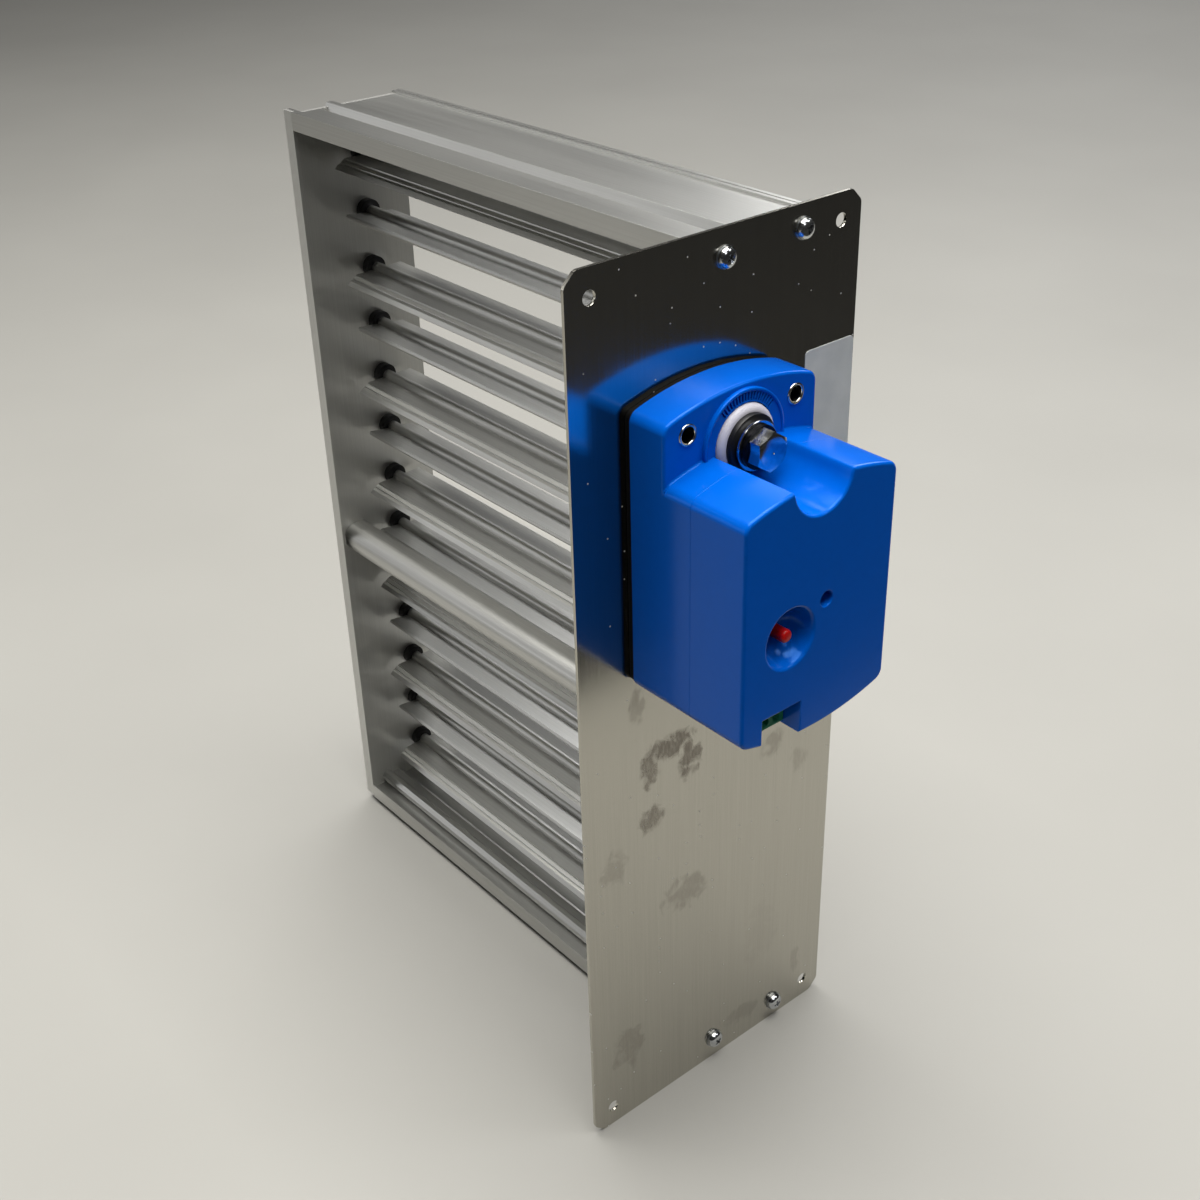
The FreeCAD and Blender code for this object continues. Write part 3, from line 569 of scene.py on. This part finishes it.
# %% Plated steel and film
def plated(name, dark, light, roughness, cloud=2.5, metallic=1.0):
    """A plated surface; cloud is the width in mm of the bath's clouds."""
    material, tree, shader = surface(name, Metallic=metallic)
    clouds = add(tree, "ShaderNodeTexNoise", {"Vector": position(tree, (cloud, cloud, cloud)),
                                              "Scale": 1.0, "Detail": 3.0})
    tree.links.new(shades(tree, clouds.outputs["Fac"], [(0.3, dark), (0.7, light)]),
                   shader.inputs["Base Color"])
    rough = spread(tree, clouds.outputs["Fac"], 0.3, 0.7, roughness, roughness + 0.1)
    tree.links.new(rough, shader.inputs["Roughness"])
    relief(tree, shader, clouds.outputs["Fac"], 0.0015, 0.15)
    return material


# Bright: small sharp pictures of the lamps and of the blue housing.
zinc = plated("steel_zinc_plated", "#B5B8BC", "#D2D4D6", 0.12)
# Passivated: a blurred grey sheen.
dull_zinc = plated("steel_zinc_passivated", "#8F9294", "#A9ABAC", 0.26)
# Oiled black: dark, with a faint metal gleam.
black_oxide = plated("steel_black_oxide", "#1C1C1E", "#2B2B2D", 0.3)
# Warm and the brightest of all, so the rolled rims stand out.
nickel = plated("steel_nickel_plated", "#BDBAB2", "#D4D1C9", 0.10)
# Satin film: pale grey from every side.
silver_film = plated("film_metallised_satin", "#C9CED1", "#D5D9DB", 0.5, 9.0, 0.35)
print("metals ready")

# %% [markdown]
# ## Side plate and frame
# The plate and the frame's five extrusions keep their CAD shape. Each gets a copy with softened
# edges, so that light catches the sheet's cut edge and the corners of the extrusions. The plate's
# corners are clipped in a press, and the clip is rounded where it meets the edges.

# %% Plate, rails, jambs and mullion
PLATE_HALF_WIDTH = 63.5
PLATE_HALF_HEIGHT = 177.8
CORNER_CUT = 4.5
PLATE_FRONT = 1.2
SHEET_EDGE = 0.18
EXTRUSION_EDGE = 0.2


def at_clipped_corner(middle, direction):
    near_edge = PLATE_HALF_WIDTH - CORNER_CUT - 0.1
    near_end = PLATE_HALF_HEIGHT - CORNER_CUT - 0.1
    return (abs(direction.x) > 0.99 and abs(middle.y) > near_edge * MM
            and abs(middle.z) > near_end * MM)


plate = round_some(welded("mounting_plate"), 0.9, 3, at_clipped_corner)
rounded(plate, SHEET_EDGE)
place(plate, "side_plate", "frame", stainless, "stainless_plate", "mounting_plate")
for name, metal in (("top_rail", rail_aluminium), ("bottom_rail", rail_aluminium),
                    ("mullion", blade_aluminium), ("far_jamb", jamb_aluminium),
                    ("drive_jamb", jamb_aluminium)):
    piece = rounded(welded(name), EXTRUSION_EDGE)
    place(piece, name + "_satin", "frame", metal, "satin_aluminium", name)

# %% [markdown]
# ## Blades
# Thirteen identical extrusions, every other one turned end for end so that they open against each
# other. In the middle of each runs a tube for the spindle, which shows on top as a soft round hump,
# so the flats of the CAD tube are rounded first. Each blade rides on its own body and keeps its own
# mesh.

# %% Thirteen blades
BLADE_AXIS_Y = 22.5
TOP_BLADE_Z = 152.4
BLADE_PITCH = 25.4
BLADE_COUNT = 13
TUBE_RADIUS = 2.6


def blade(number):
    """Soften one blade's edges, the flats of its tube more than the rest."""
    z = TOP_BLADE_Z - (number - 1) * BLADE_PITCH
    name = "blade_%02d" % number

    def on_tube(middle, direction):
        away = math.hypot(middle.y / MM - BLADE_AXIS_Y, middle.z / MM - z)
        return abs(direction.x) > 0.99 and abs(away - TUBE_RADIUS) < 0.05

    piece = round_some(welded(name), 0.6, 3, on_tube)
    rounded(piece, 0.12, 2, 20)
    place(piece, name + "_satin", "blade_body_%02d" % number, blade_aluminium,
          "satin_aluminium", name)


for number in range(1, BLADE_COUNT + 1):
    blade(number)

# %% [markdown]
# ## Bushings
# A black nylon bushing holds each end of a blade: a round collar against the blade, and a square
# neck snapped into the jamb's window, so that it can't turn. The far ones carry a pin for the
# blade's tube. The spindle passes through the near ones, which have a low step there. One of each
# is modelled about the X axis and copied down the jamb.

# %% Bushings
COLLAR_RADIUS = 4.9
COLLAR_LENGTH = 3.75
NECK_WIDTH = 6.4
JAMB_WEB = 2.0
FAR_WEB = -244.85
DRIVE_WEB = -20.0


def bushing(web, into, pin_radius, pin_length):
    """Collar on the blade's side of a web, neck through it; into is +1 where blades lie at +X."""
    edge = 0.4
    face = web + into * COLLAR_LENGTH
    tip = face + into * pin_length
    outline = [(web, 0), (web, COLLAR_RADIUS), (face - into * edge, COLLAR_RADIUS)]
    outline += [(face - into * edge * 0.3, COLLAR_RADIUS - edge * 0.3)]
    outline += [(face, COLLAR_RADIUS - edge), (face, pin_radius), (tip, pin_radius), (tip, 0)]
    collar = spun(outline, 0, 0, 32)
    half = NECK_WIDTH / 2
    x0, x1 = sorted((web - into * JAMB_WEB, web + into * 0.5))
    neck = rounded(cuboid(x0, x1, -half, half, -half, half), 0.3, 3)
    return join([collar, neck])


def row_of_bushings(pattern, name, node):
    """Copy one bushing to every blade's axis; the pattern is used up."""
    copies = [turned_copy(pattern, BLADE_AXIS_Y, TOP_BLADE_Z - step * BLADE_PITCH, 0)
              for step in range(BLADE_COUNT)]
    bpy.data.objects.remove(pattern)
    row = join(copies)
    smooth(row)
    place(row, name, "frame", black_nylon, "black_nylon", node)


row_of_bushings(bushing(FAR_WEB, 1, 1.4, 12.0), "far_bushing_row", "far_bushings")
row_of_bushings(bushing(DRIVE_WEB, -1, 1.6, 0.1), "drive_bushing_row", "drive_bushings")

# %% [markdown]
# ## Pan-head screws
# Four zinc screws hold the rails to the plate. The head is a low dome with a cross recess, cold
# formed with a tapered punch, on a plain washer. One screw is turned and punched about the X axis,
# and each copy is turned by its own angle, as screws end up when they are driven home.

# %% Screws and washers
# Each screw: y and z in mm, and the angle at which its cross ended up.
SCREW_PLACES = [(1.0, 168.025, 20), (36.1, 169.625, 65), (1.0, -168.025, 40),
                (36.1, -169.625, 10)]
WASHER_FACE = PLATE_FRONT
HEAD_FACE = 1.8
HEAD_TOP = 4.3
SHANK_END = -10.2
SHANK_RADIUS = 1.45


def cross_punch(depth, width, reach):
    """The punch of a cross recess: two tapered bars, narrow at the bottom."""
    bars = []
    for turn in (0, 90):
        bar = cuboid(HEAD_TOP - depth, HEAD_TOP + PAST, -reach, reach, -width / 2, width / 2)
        edit(bar)
        pick(bar, "FACE", lambda middle, normal: normal.x < -0.9)
        bpy.ops.transform.resize(value=(1, 0.35, 0.7), center_override=(0, 0, 0))
        leave_edit()
        bars.append(turned_copy(bar, 0, 0, turn))
        bpy.data.objects.remove(bar)
    carve(bars[0], bars[1], "UNION")
    return bars[0]


dome = [(HEAD_FACE, 0), (HEAD_FACE, 3.45), (HEAD_FACE + 0.15, 3.6), (2.5, 3.58), (3.1, 3.35)]
dome += [(3.6, 2.9), (3.95, 2.2), (4.2, 1.3), (HEAD_TOP, 0)]
head = spun(dome, 0, 0, 48)
carve(head, cross_punch(1.5, 0.95, 2.3))
shank = drum(SHANK_END, HEAD_FACE + 0.4, 0, 0, SHANK_RADIUS, 24)
screw = join([head, shank])
smooth(screw, 35)
screws = join([turned_copy(screw, y, z, turn) for y, z, turn in SCREW_PLACES])
bpy.data.objects.remove(screw)
place(screws, "pan_head_screws", "frame", zinc, "zinc_steel", "plate_screws")

ring = [(WASHER_FACE, 1.6), (WASHER_FACE, 3.9), (1.65, 3.9), (HEAD_FACE, 3.75), (HEAD_FACE, 1.6)]
washer = spun(ring + ring[:1], 0, 0, 48)
washers = join([turned_copy(washer, y, z, 0) for y, z, turn in SCREW_PLACES])
bpy.data.objects.remove(washer)
smooth(washers, 35)
place(washers, "plain_washers", "frame", dull_zinc, "zinc_steel", "screw_washers")

# %% [markdown]
# ## Actuator housing
# The housing is moulded in two halves that meet in a fine seam. Its sides are straight, its top and
# bottom are bowed, and its edges are rounded. By hand: draw the bowed outline, fill it, pull it to
# depth, round the four long edges, then the rim of each end. All rounding is done while the block
# is plain, because a bevel runs cleanly only along edges that no cut has broken.

# %% A bowed block
SHAFT_Y = -8.5
SHAFT_Z = 115.2
HALF_WIDTH = 33.5
BOW_RADIUS = 104.77
BOW_STEPS = 40
CORNER_RADIUS = 3.0
BACK = 4.0
SHELF_FRONT = 20.0
SEAM = 32.0
FRONT = 56.0
LOW = 23.5
SHELF_TOP = 134.3
BLOCK_TOP = 114.5


def bow(crown, way):
    """Points of a bow from left to right; way is 1 where it rises to its crown, -1 where it sinks.

    The two points next to each end are left out, to give the corner's rounding room."""
    half = math.asin(HALF_WIDTH / BOW_RADIUS)
    points = []
    for step in [0, *range(3, BOW_STEPS - 2), BOW_STEPS]:
        turn = half * (2 * step / BOW_STEPS - 1)
        drop = BOW_RADIUS * (1 - math.cos(turn))
        points.append((SHAFT_Y + BOW_RADIUS * math.sin(turn), crown - way * drop))
    return points


def bowed_block(x0, x1, low, high, back_edge=0.0, front_edge=0.0, profile=0.5):
    """A block bowed at top and bottom, the rims of its ends rounded by these widths."""
    outline = bow(high, 1) + bow(low, -1)[::-1]
    piece = pulled(outline, [(x0, 1), (x1, 1)], SHAFT_Y, SHAFT_Z)

    def upright(middle, direction):
        aside = abs(abs(middle.y / MM - SHAFT_Y) - HALF_WIDTH)
        return abs(direction.x) > 0.99 and aside < 0.01

    round_some(piece, CORNER_RADIUS, 8, upright)
    for x, edge in ((x0, back_edge), (x1, front_edge)):
        if edge:
            edit(piece)
            pick(piece, "EDGE", lambda middle, direction: abs(middle.x / MM - x) < 0.001)
            bpy.ops.mesh.bevel(offset=edge * MM, segments=5, affect="EDGES", profile=profile)
            leave_edit()
    return piece


# %% [markdown]
# ## Rear housing
# The rear half has the shelf that the two eyelets sit in, and a round dial about the shaft with a
# raised lip and a moulded scale: nineteen marks, five degrees apart. The block in front of it is
# lower. A hollow fillet strengthens the corner between the two, and a scoop for the clamp bolt runs
# through both halves. The scoop's cutter is half a round bar whose upper edges lean outwards, so
# that it leaves rounded edges along the block's top.

# %% Rear housing
SCOOP_RADIUS = 12.8
DIAL_RADIUS = 17.5
DIAL_FACE = 21.1
EYELET_PLACES = [(-32.1, 124.0), (15.1, 124.0)]
EYELET_BORE = 3.2
SCALE_MARKS = 19
SCALE_START = 40    # degrees from +Y
SCALE_STEP = 5
SCOOP_STEPS = 23
RIM_TURN = 12    # degrees below the level at which the scoop's round part starts


def scoop_cutter(sections):
    """Half a circle, with a lip at both ends that bends out to the block's top, pulled along X."""
    half = [(13.95, 2.0), (13.95, -1.52), (13.5, -1.57)]
    half += [(13.1, -1.78), (12.85, -2.15), (12.6, -2.7)]
    for step in range(1, SCOOP_STEPS + 1):
        turn = math.radians(RIM_TURN + (90 - RIM_TURN) * step / SCOOP_STEPS)
        half.append((SCOOP_RADIUS * math.cos(turn), -SCOOP_RADIUS * math.sin(turn)))
    right = [(SHAFT_Y + y, SHAFT_Z + z) for y, z in half]
    left = [(SHAFT_Y - y, SHAFT_Z + z) for y, z in half[:-1]]
    return pulled(right + left[::-1], sections, SHAFT_Y, SHAFT_Z)


rear = bowed_block(BACK, SHELF_FRONT, LOW, SHELF_TOP, 0.3, 1.1)
carve(rear, bowed_block(BACK, SEAM, LOW, BLOCK_TOP, 0.3, 0.16), "UNION")
fillet = bowed_block(SHELF_FRONT - 2, SHELF_FRONT + 0.7, LOW + 20, BLOCK_TOP + 0.7, 0,
                     0.68, 0.12)
carve(rear, fillet, "UNION")
lip = [(18, 0), (18, DIAL_RADIUS), (21.1, DIAL_RADIUS), (21.42, 17.38), (21.6, 17.05)]
lip += [(21.6, 16.75), (21.42, 16.4), (DIAL_FACE, 16.25), (DIAL_FACE, 0)]
carve(rear, spun(lip, SHAFT_Y, SHAFT_Z, 128), "UNION")
carve(rear, scoop_cutter([(DIAL_FACE + 0.01, 1), (SEAM + PAST, 1)]))
carve(rear, drum(8, DIAL_FACE + 2.5, SHAFT_Y, SHAFT_Z, SCOOP_RADIUS - 0.05, 96))
for y, z in EYELET_PLACES:
    carve(rear, drum(BACK - PAST, SHELF_FRONT + PAST, y, z, EYELET_BORE, 48))
mark = cuboid(DIAL_FACE - 1.0, DIAL_FACE + PAST, 13.3, 16.1, -0.36, 0.36)
marks = [turned_copy(mark, SHAFT_Y, SHAFT_Z, SCALE_START + SCALE_STEP * step)
         for step in range(SCALE_MARKS)]
bpy.data.objects.remove(mark)
carve(rear, join(marks))
even_shading(rear)
print("rear housing cut:", len(rear.data.polygons), "faces")
place(rear, "housing_rear", "frame", blue_abs, "blue_plastic", "rear_housing")

# %% [markdown]
# ## Front housing
# The front half is a plain bowed block. Into it go the rest of the scoop, the finger dish round the
# release button, a small round hole with a flat bottom, and a notch at the foot for the terminal
# block. Every mouth flares out where it meets the face, as a moulded edge does, and that comes from
# the cutter's shape: its last sections grow.

# %% Front housing
DISH_Y = -21.0
DISH_Z = 62.5
INDEX_HOLE_Y = -5.2
INDEX_HOLE_Z = 70.9
BUTTON_BORE = 2.45
NOTCH_LEFT = -32.6
NOTCH_RIGHT = -15.0
NOTCH_TOP = 36.2
NOTCH_FLOOR = 37.0
SCOOP_MOUTH = [(54.9, 1.0), (55.3, 1.005), (55.6, 1.019), (55.85, 1.042), (FRONT, 1.075),
               (57, 1.078)]

front = bowed_block(SEAM, FRONT, LOW, BLOCK_TOP, 0.14, 1.2)
carve(front, scoop_cutter([(SEAM - PAST, 1)] + SCOOP_MOUTH))
bowl = [(FRONT + PAST, 0), (FRONT + PAST, 11.6), (FRONT, 11.5), (55.9, 11.1), (55.55, 10.6)]
bowl += [(54.8, 10.15), (53.4, 9.7), (51.4, 8.7), (49.5, 7.1), (48.1, 5.0), (47.3, 2.6), (47, 0)]
carve(front, spun(bowl, DISH_Y, DISH_Z, 96))
carve(front, drum(34, 50, DISH_Y, DISH_Z, BUTTON_BORE, 48))
well = [(50, 0), (50, 2.7), (55.6, 2.7), (55.88, 2.85), (FRONT + 0.01, 3.15), (FRONT + PAST, 3.2)]
well += [(FRONT + PAST, 0)]
carve(front, spun(well, INDEX_HOLE_Y, INDEX_HOLE_Z, 48))
below = LOW - 2
corners = [(NOTCH_LEFT, below), (NOTCH_LEFT, NOTCH_TOP), (NOTCH_RIGHT, NOTCH_TOP)]
corners += [(NOTCH_RIGHT, below)]
notch_middle = (NOTCH_LEFT + NOTCH_RIGHT) / 2
notch_mouth = [(55.5, 1.0), (55.85, 1.015), (FRONT + 0.01, 1.04), (57, 1.045)]
carve(front, pulled(corners, [(NOTCH_FLOOR, 1.0)] + notch_mouth, notch_middle, below))
even_shading(front)
print("front housing cut:", len(front.data.polygons), "faces")
place(front, "housing_front", "frame", blue_abs, "blue_plastic", "front_housing")

# %% [markdown]
# ## Hub and clamp bolt
# The shaft's end sits in a white acetal hub with a rounded rim. In front of it come a black rubber
# friction ring, a plated washer with a bright edge, a smaller blackened spring washer, and a
# hexagon bolt. The bolt head is a hexagonal bar that was faced off at an angle in the lathe, which
# leaves the round chamfer and a centre mark: here the bar is overlapped with a turned cone.

# %% Hub and rings
def shaft_piece(outline, name, node, material, slot):
    """Spin an outline about the shaft and let it ride on the shaft."""
    piece = spun(outline, SHAFT_Y, SHAFT_Z, 96)
    smooth(piece, 35)
    place(piece, name, "shaft", material, slot, node)


hub = [(8.3, 5.1), (8.3, 12.5), (20.6, 12.5), (21.5, 12.3), (22.2, 11.9), (22.7, 11.3)]
hub += [(22.95, 10.6), (23, 9.9), (23, 5.1), (8.3, 5.1)]
shaft_piece(hub, "hub_white", "output_hub", white_acetal, "white_plastic")
pad = [(23, 4.1), (23, 10.0), (24.6, 10.0), (24.9, 9.85), (25, 9.6), (25, 4.1), (23, 4.1)]
shaft_piece(pad, "friction_pad", "friction_ring", black_rubber, "black_plastic")
tapered = [(25, 4.1), (25, 7.5), (25.9, 8.3), (26.15, 8.5), (26.8, 8.5), (27, 8.3), (27, 4.1)]
shaft_piece(tapered + tapered[:1], "bolt_washer", "shaft_washer", zinc, "zinc_steel")
split = [(27, 4.1), (27, 7.2), (27.2, 7.4), (28.4, 7.4), (28.6, 7.2), (28.6, 4.1), (27, 4.1)]
shaft_piece(split, "bolt_spring_washer", "spring_washer", black_oxide, "zinc_steel")

# %% Hexagon bolt
HEAD_BACK = 28.6
BOLT_TIP = 34.0
HEX_CORNER = 6.93
HEX_TURN = 26    # degrees, as the bolt was left when it was tightened
STEM_BACK = 5.0
STEM_RADIUS = 3.95

bolt = drum(HEAD_BACK, BOLT_TIP, SHAFT_Y, SHAFT_Z, HEX_CORNER, 6, HEX_TURN)
cone = [(HEAD_BACK - PAST, 0), (HEAD_BACK - PAST, 6.1), (HEAD_BACK, 6.35), (HEAD_BACK + 0.5, 7.2)]
cone += [(33.15, 7.2), (BOLT_TIP - 0.15, 5.75), (BOLT_TIP, 5.2), (BOLT_TIP, 0)]
carve(bolt, spun(cone, SHAFT_Y, SHAFT_Z, 96), "INTERSECT")
centre_mark = [(BOLT_TIP - 0.5, 0), (BOLT_TIP + 0.1, 0.55), (BOLT_TIP + 0.1, 0)]
carve(bolt, spun(centre_mark, SHAFT_Y, SHAFT_Z, 24))
smooth(bolt, 18)
bolt = join([bolt, drum(STEM_BACK, HEAD_BACK + 0.3, SHAFT_Y, SHAFT_Z, STEM_RADIUS, 32)])
place(bolt, "hexagon_clamp_bolt", "shaft", zinc, "zinc_steel", "clamp_bolt")

# %% [markdown]
# ## Eyelets, button and terminals
# Each eyelet is a short steel tube with its front end rolled over. The release button is a red rod
# with a rounded tip. The green terminal block has three poles, each with two round wells: the upper
# one for a screwdriver, with a slotted screw in it, and the lower one for the wire.

# %% Eyelets
def eyelet(y, z):
    """A tube with a rolled rim, spun from its closed outline."""
    outline = [(BACK, 2.7), (BACK, 3.1), (19.9, 3.1), (SHELF_FRONT, 3.62), (20.15, 3.7)]
    outline += [(20.35, 3.62), (20.48, 3.4), (20.5, 3.15), (20.4, 2.9), (20.1, 2.74), (19.5, 2.7)]
    return spun(outline + outline[:1], y, z, 64)


eyelets = join([eyelet(y, z) for y, z in EYELET_PLACES])
smooth(eyelets, 45)
place(eyelets, "rolled_eyelets", "frame", nickel, "nickel_eyelet", "mounting_eyelets")

# %% Release button
rod = [(37.5, 0), (37.5, 2.3), (53.5, 2.3), (54.0, 2.2), (54.35, 1.9), (54.5, 1.45), (54.5, 0)]
button = spun(rod, DISH_Y, DISH_Z, 48)
smooth(button, 35)
place(button, "button_red", "button", red_abs, "red_plastic", "release_button")

# %% Terminal block and its screws
TERMINAL_FRONT = 48.6
TERMINAL_LOW = 25.2
NOTCH_GAP = 0.2
POLES = (-28.88, -23.8, -18.72)
# Each row of wells: z, radius and x of the bottom in mm.
SCREW_WELLS = (31.6, 1.75, 42)
WIRE_WELLS = (27.95, 1.7, 38)

block = cuboid(NOTCH_FLOOR + NOTCH_GAP, TERMINAL_FRONT, NOTCH_LEFT + NOTCH_GAP,
               NOTCH_RIGHT - NOTCH_GAP, TERMINAL_LOW, NOTCH_TOP - NOTCH_GAP)
rounded(block, 0.25, 2, 30)
for y in POLES:
    for z, radius, bottom in (SCREW_WELLS, WIRE_WELLS):
        carve(block, drum(bottom, TERMINAL_FRONT + PAST, y, z, radius, 32))
even_shading(block)
place(block, "terminal_body", "frame", green_polyamide, "green_plastic", "terminal_block")
slotted = rounded(welded("terminal_screws"), 0.08, 2, 50)
place(slotted, "terminal_screw_set", "frame", dull_zinc, "zinc_steel", "terminal_screws")

# %% [markdown]
# ## Back plate and sticker
# A thin black plate lies between the housing and the sheet. The sticker is a bare silver film with
# rounded corners: a flat box whose four upright edges are rounded in one bevel.

# %% Back plate and sticker
# The back plate's near-black is partly its own colour and partly painted shade for the gap behind
# the housing.
plinth = rounded(welded("actuator_back_plate"), 0.3, 3)
place(plinth, "actuator_plinth", "frame", black_abs_painted_shade, "black_plastic", "actuator_back_plate")
FILM_THICKNESS = 0.2
FILM_CORNER = 1.8
label = cuboid(PLATE_FRONT, PLATE_FRONT + FILM_THICKNESS, 39.4, 63.2, 62.2, 126.2)
round_some(label, FILM_CORNER, 6, lambda middle, direction: abs(direction.x) > 0.99)
even_shading(label)
place(label, "silver_sticker", "frame", silver_film, "silver_film", "rating_sticker")

# %% [markdown]
# ## Small parts between jamb and plate
# Gears, cranks, link, drive shaft and the screws through the jambs and the actuator's back keep
# the CAD's own mesh: little of them shows until the frame is taken apart. They only need a finish,
# which goes into the material slots of the CAD objects.

# %% Finishes for the CAD pieces that stay
def finish(material, *names):
    """Give CAD pieces a finish and leave their meshes alone."""
    for name in names:
        nodes[name].data.materials.clear()
        nodes[name].data.materials.append(material)


finish(dull_zinc, "blade_crank", "shaft_crank", "link_rod", "drive_shaft", "actuator_screws",
       "frame_screws")
finish(black_nylon, *["gear_%02d" % number for number in range(1, BLADE_COUNT + 1)])

# %% [markdown]
# ## Floor, light and camera
# The picture was taken on a pale floor under one broad soft light high above the damper, so upward
# faces are bright and upright ones fall off fast. Seven weaker panels stand in for the light that a
# room throws back: each has one job, which is named beside it. The plate is almost a mirror: its
# dark upper half shows what lies beyond the edge of the floor, which is a low black card here that
# the camera can't see.

# %% Floor and black card
floor_height = cad_box[0][2]


def sheet_on_floor(name, size_x, size_y, where):
    """A flat sheet of this size in metres."""
    bpy.ops.object.select_all(action="DESELECT")
    bpy.ops.mesh.primitive_plane_add(size=1.0, location=where)
    sheet = bpy.context.object
    sheet.name = name
    sheet.scale = (size_x, size_y, 1)
    settle(sheet)
    return sheet


floor = sheet_on_floor("studio_floor", 12, 12, (0, 0, floor_height))
paper, tree, shader = surface("studio_floor_paint", Roughness=0.6)
clouds = add(tree, "ShaderNodeTexNoise", {"Vector": position(tree, (300, 300, 300)), "Scale": 1.0,
                                          "Detail": 4.0})
tree.links.new(shades(tree, clouds.outputs["Fac"], [(0.2, "#8E8D89"), (0.8, "#959490")]),
               shader.inputs["Base Color"])
floor.data.materials.append(paper)

card = sheet_on_floor("studio_black_card", 2.8, 4.5, (1.65, 0.8, floor_height + 0.002))
card.visible_camera = False
card.visible_shadow = False
felt, tree, shader = surface("studio_black_felt", Roughness=0.9)
shader.inputs["Base Color"].default_value = colour("#080808")
card.data.materials.append(felt)


# %% Lamps and world
def soft_box(name, where, at, size, watts, tint="#FFFFFF"):
    """A flat lamp of this size in metres that stands somewhere and faces some place."""
    data = bpy.data.lights.new(name, "AREA")
    data.shape = "RECTANGLE"
    data.size = size[0]
    data.size_y = size[1]
    data.energy = watts
    data.color = colour(tint)[:3]
    lamp = bpy.data.objects.new(name, data)
    lamp.location = where
    lamp.rotation_euler = (Vector(at) - Vector(where)).to_track_quat("-Z", "Y").to_euler()
    bpy.context.scene.collection.objects.link(lamp)


# Lights nearly everything.
soft_box("overhead_soft_box", (-0.1, -0.05, 1.7), (-0.1, -0.05, 0), (1.9, 1.5), 88, "#FFFDF8")
# A sheen on the top rail.
soft_box("rear_panel", (-2.2, 1.7, 1.6), (-0.9, 0.7, -0.18), (1.3, 0.9), 0.8)
# The floor behind the damper.
soft_box("far_panel", (-1.6, 3.2, 1.9), (-1.2, 1.4, -0.18), (2.5, 1.2), 44)
# The faces of rails, jambs and blades that look towards the front.
soft_box("low_side_panel", (-1.7, -1.9, 0.45), (0, 0, 0.05), (1.3, 0.8), 3.8)
# The housing's front.
soft_box("front_panel", (1.5, -0.2, 1.2), (0, 0, 0.05), (0.5, 0.5), 3)
# The housing's rounded edges.
soft_box("edge_light", (1.3, 1.4, 1.75), (0.05, 0, 0.1), (0.7, 0.7), 8)
# Its picture in the sloping side of the top rail's groove.
soft_box("groove_panel", (-1.7, -0.98, 1.08), (0, 0, 0.18), (0.9, 0.8), 2.3)
# Its picture in the upper left facet of the bolt.
soft_box("bolt_panel", (-1.3, 0.15, 1.7), (0.03, 0, 0.12), (0.45, 0.45), 1.2)

world = bpy.data.worlds.new("pale_room")
bpy.context.scene.world = world
world.use_nodes = True
sky = world.node_tree.nodes["Background"]
sky.inputs["Color"].default_value = colour("#DCDBD7")
sky.inputs["Strength"].default_value = 0.04

# %% [markdown]
# ## Camera
# The viewing angle, place and lens come from fitting the CAD model's corners to the picture. The
# numbers are an angle round the damper, one above the floor, a small roll, and a focal length in
# pixels of the square picture, which is turned to millimetres on a 36 mm sensor.

# %% Camera
azimuth = math.radians(50.82)
elevation = math.radians(30.36)
roll = math.radians(-1.70)
focal_pixels = 1578.73
image_pixels = 1200
camera_place = Vector((344.38, -332.91, 325.12)) * MM
back = Vector((math.sin(azimuth) * math.cos(elevation), -math.cos(azimuth) * math.cos(elevation),
               math.sin(elevation)))
right = Vector((math.cos(azimuth), math.sin(azimuth), 0))
up = back.cross(right)
turned_right = math.cos(roll) * right + math.sin(roll) * up
turned_up = -math.sin(roll) * right + math.cos(roll) * up
data = bpy.data.cameras.new("camera")
data.sensor_width = 36
data.lens = focal_pixels / image_pixels * data.sensor_width
data.clip_start = 0.01
camera = bpy.data.objects.new("camera", data)
axes = Matrix((turned_right, turned_up, back)).transposed()
camera.matrix_world = Matrix.Translation(camera_place) @ axes.to_4x4()
bpy.context.scene.collection.objects.link(camera)
bpy.context.scene.camera = camera
bpy.context.scene.view_settings.view_transform = "Standard"
print("lens in mm:", round(data.lens, 2))
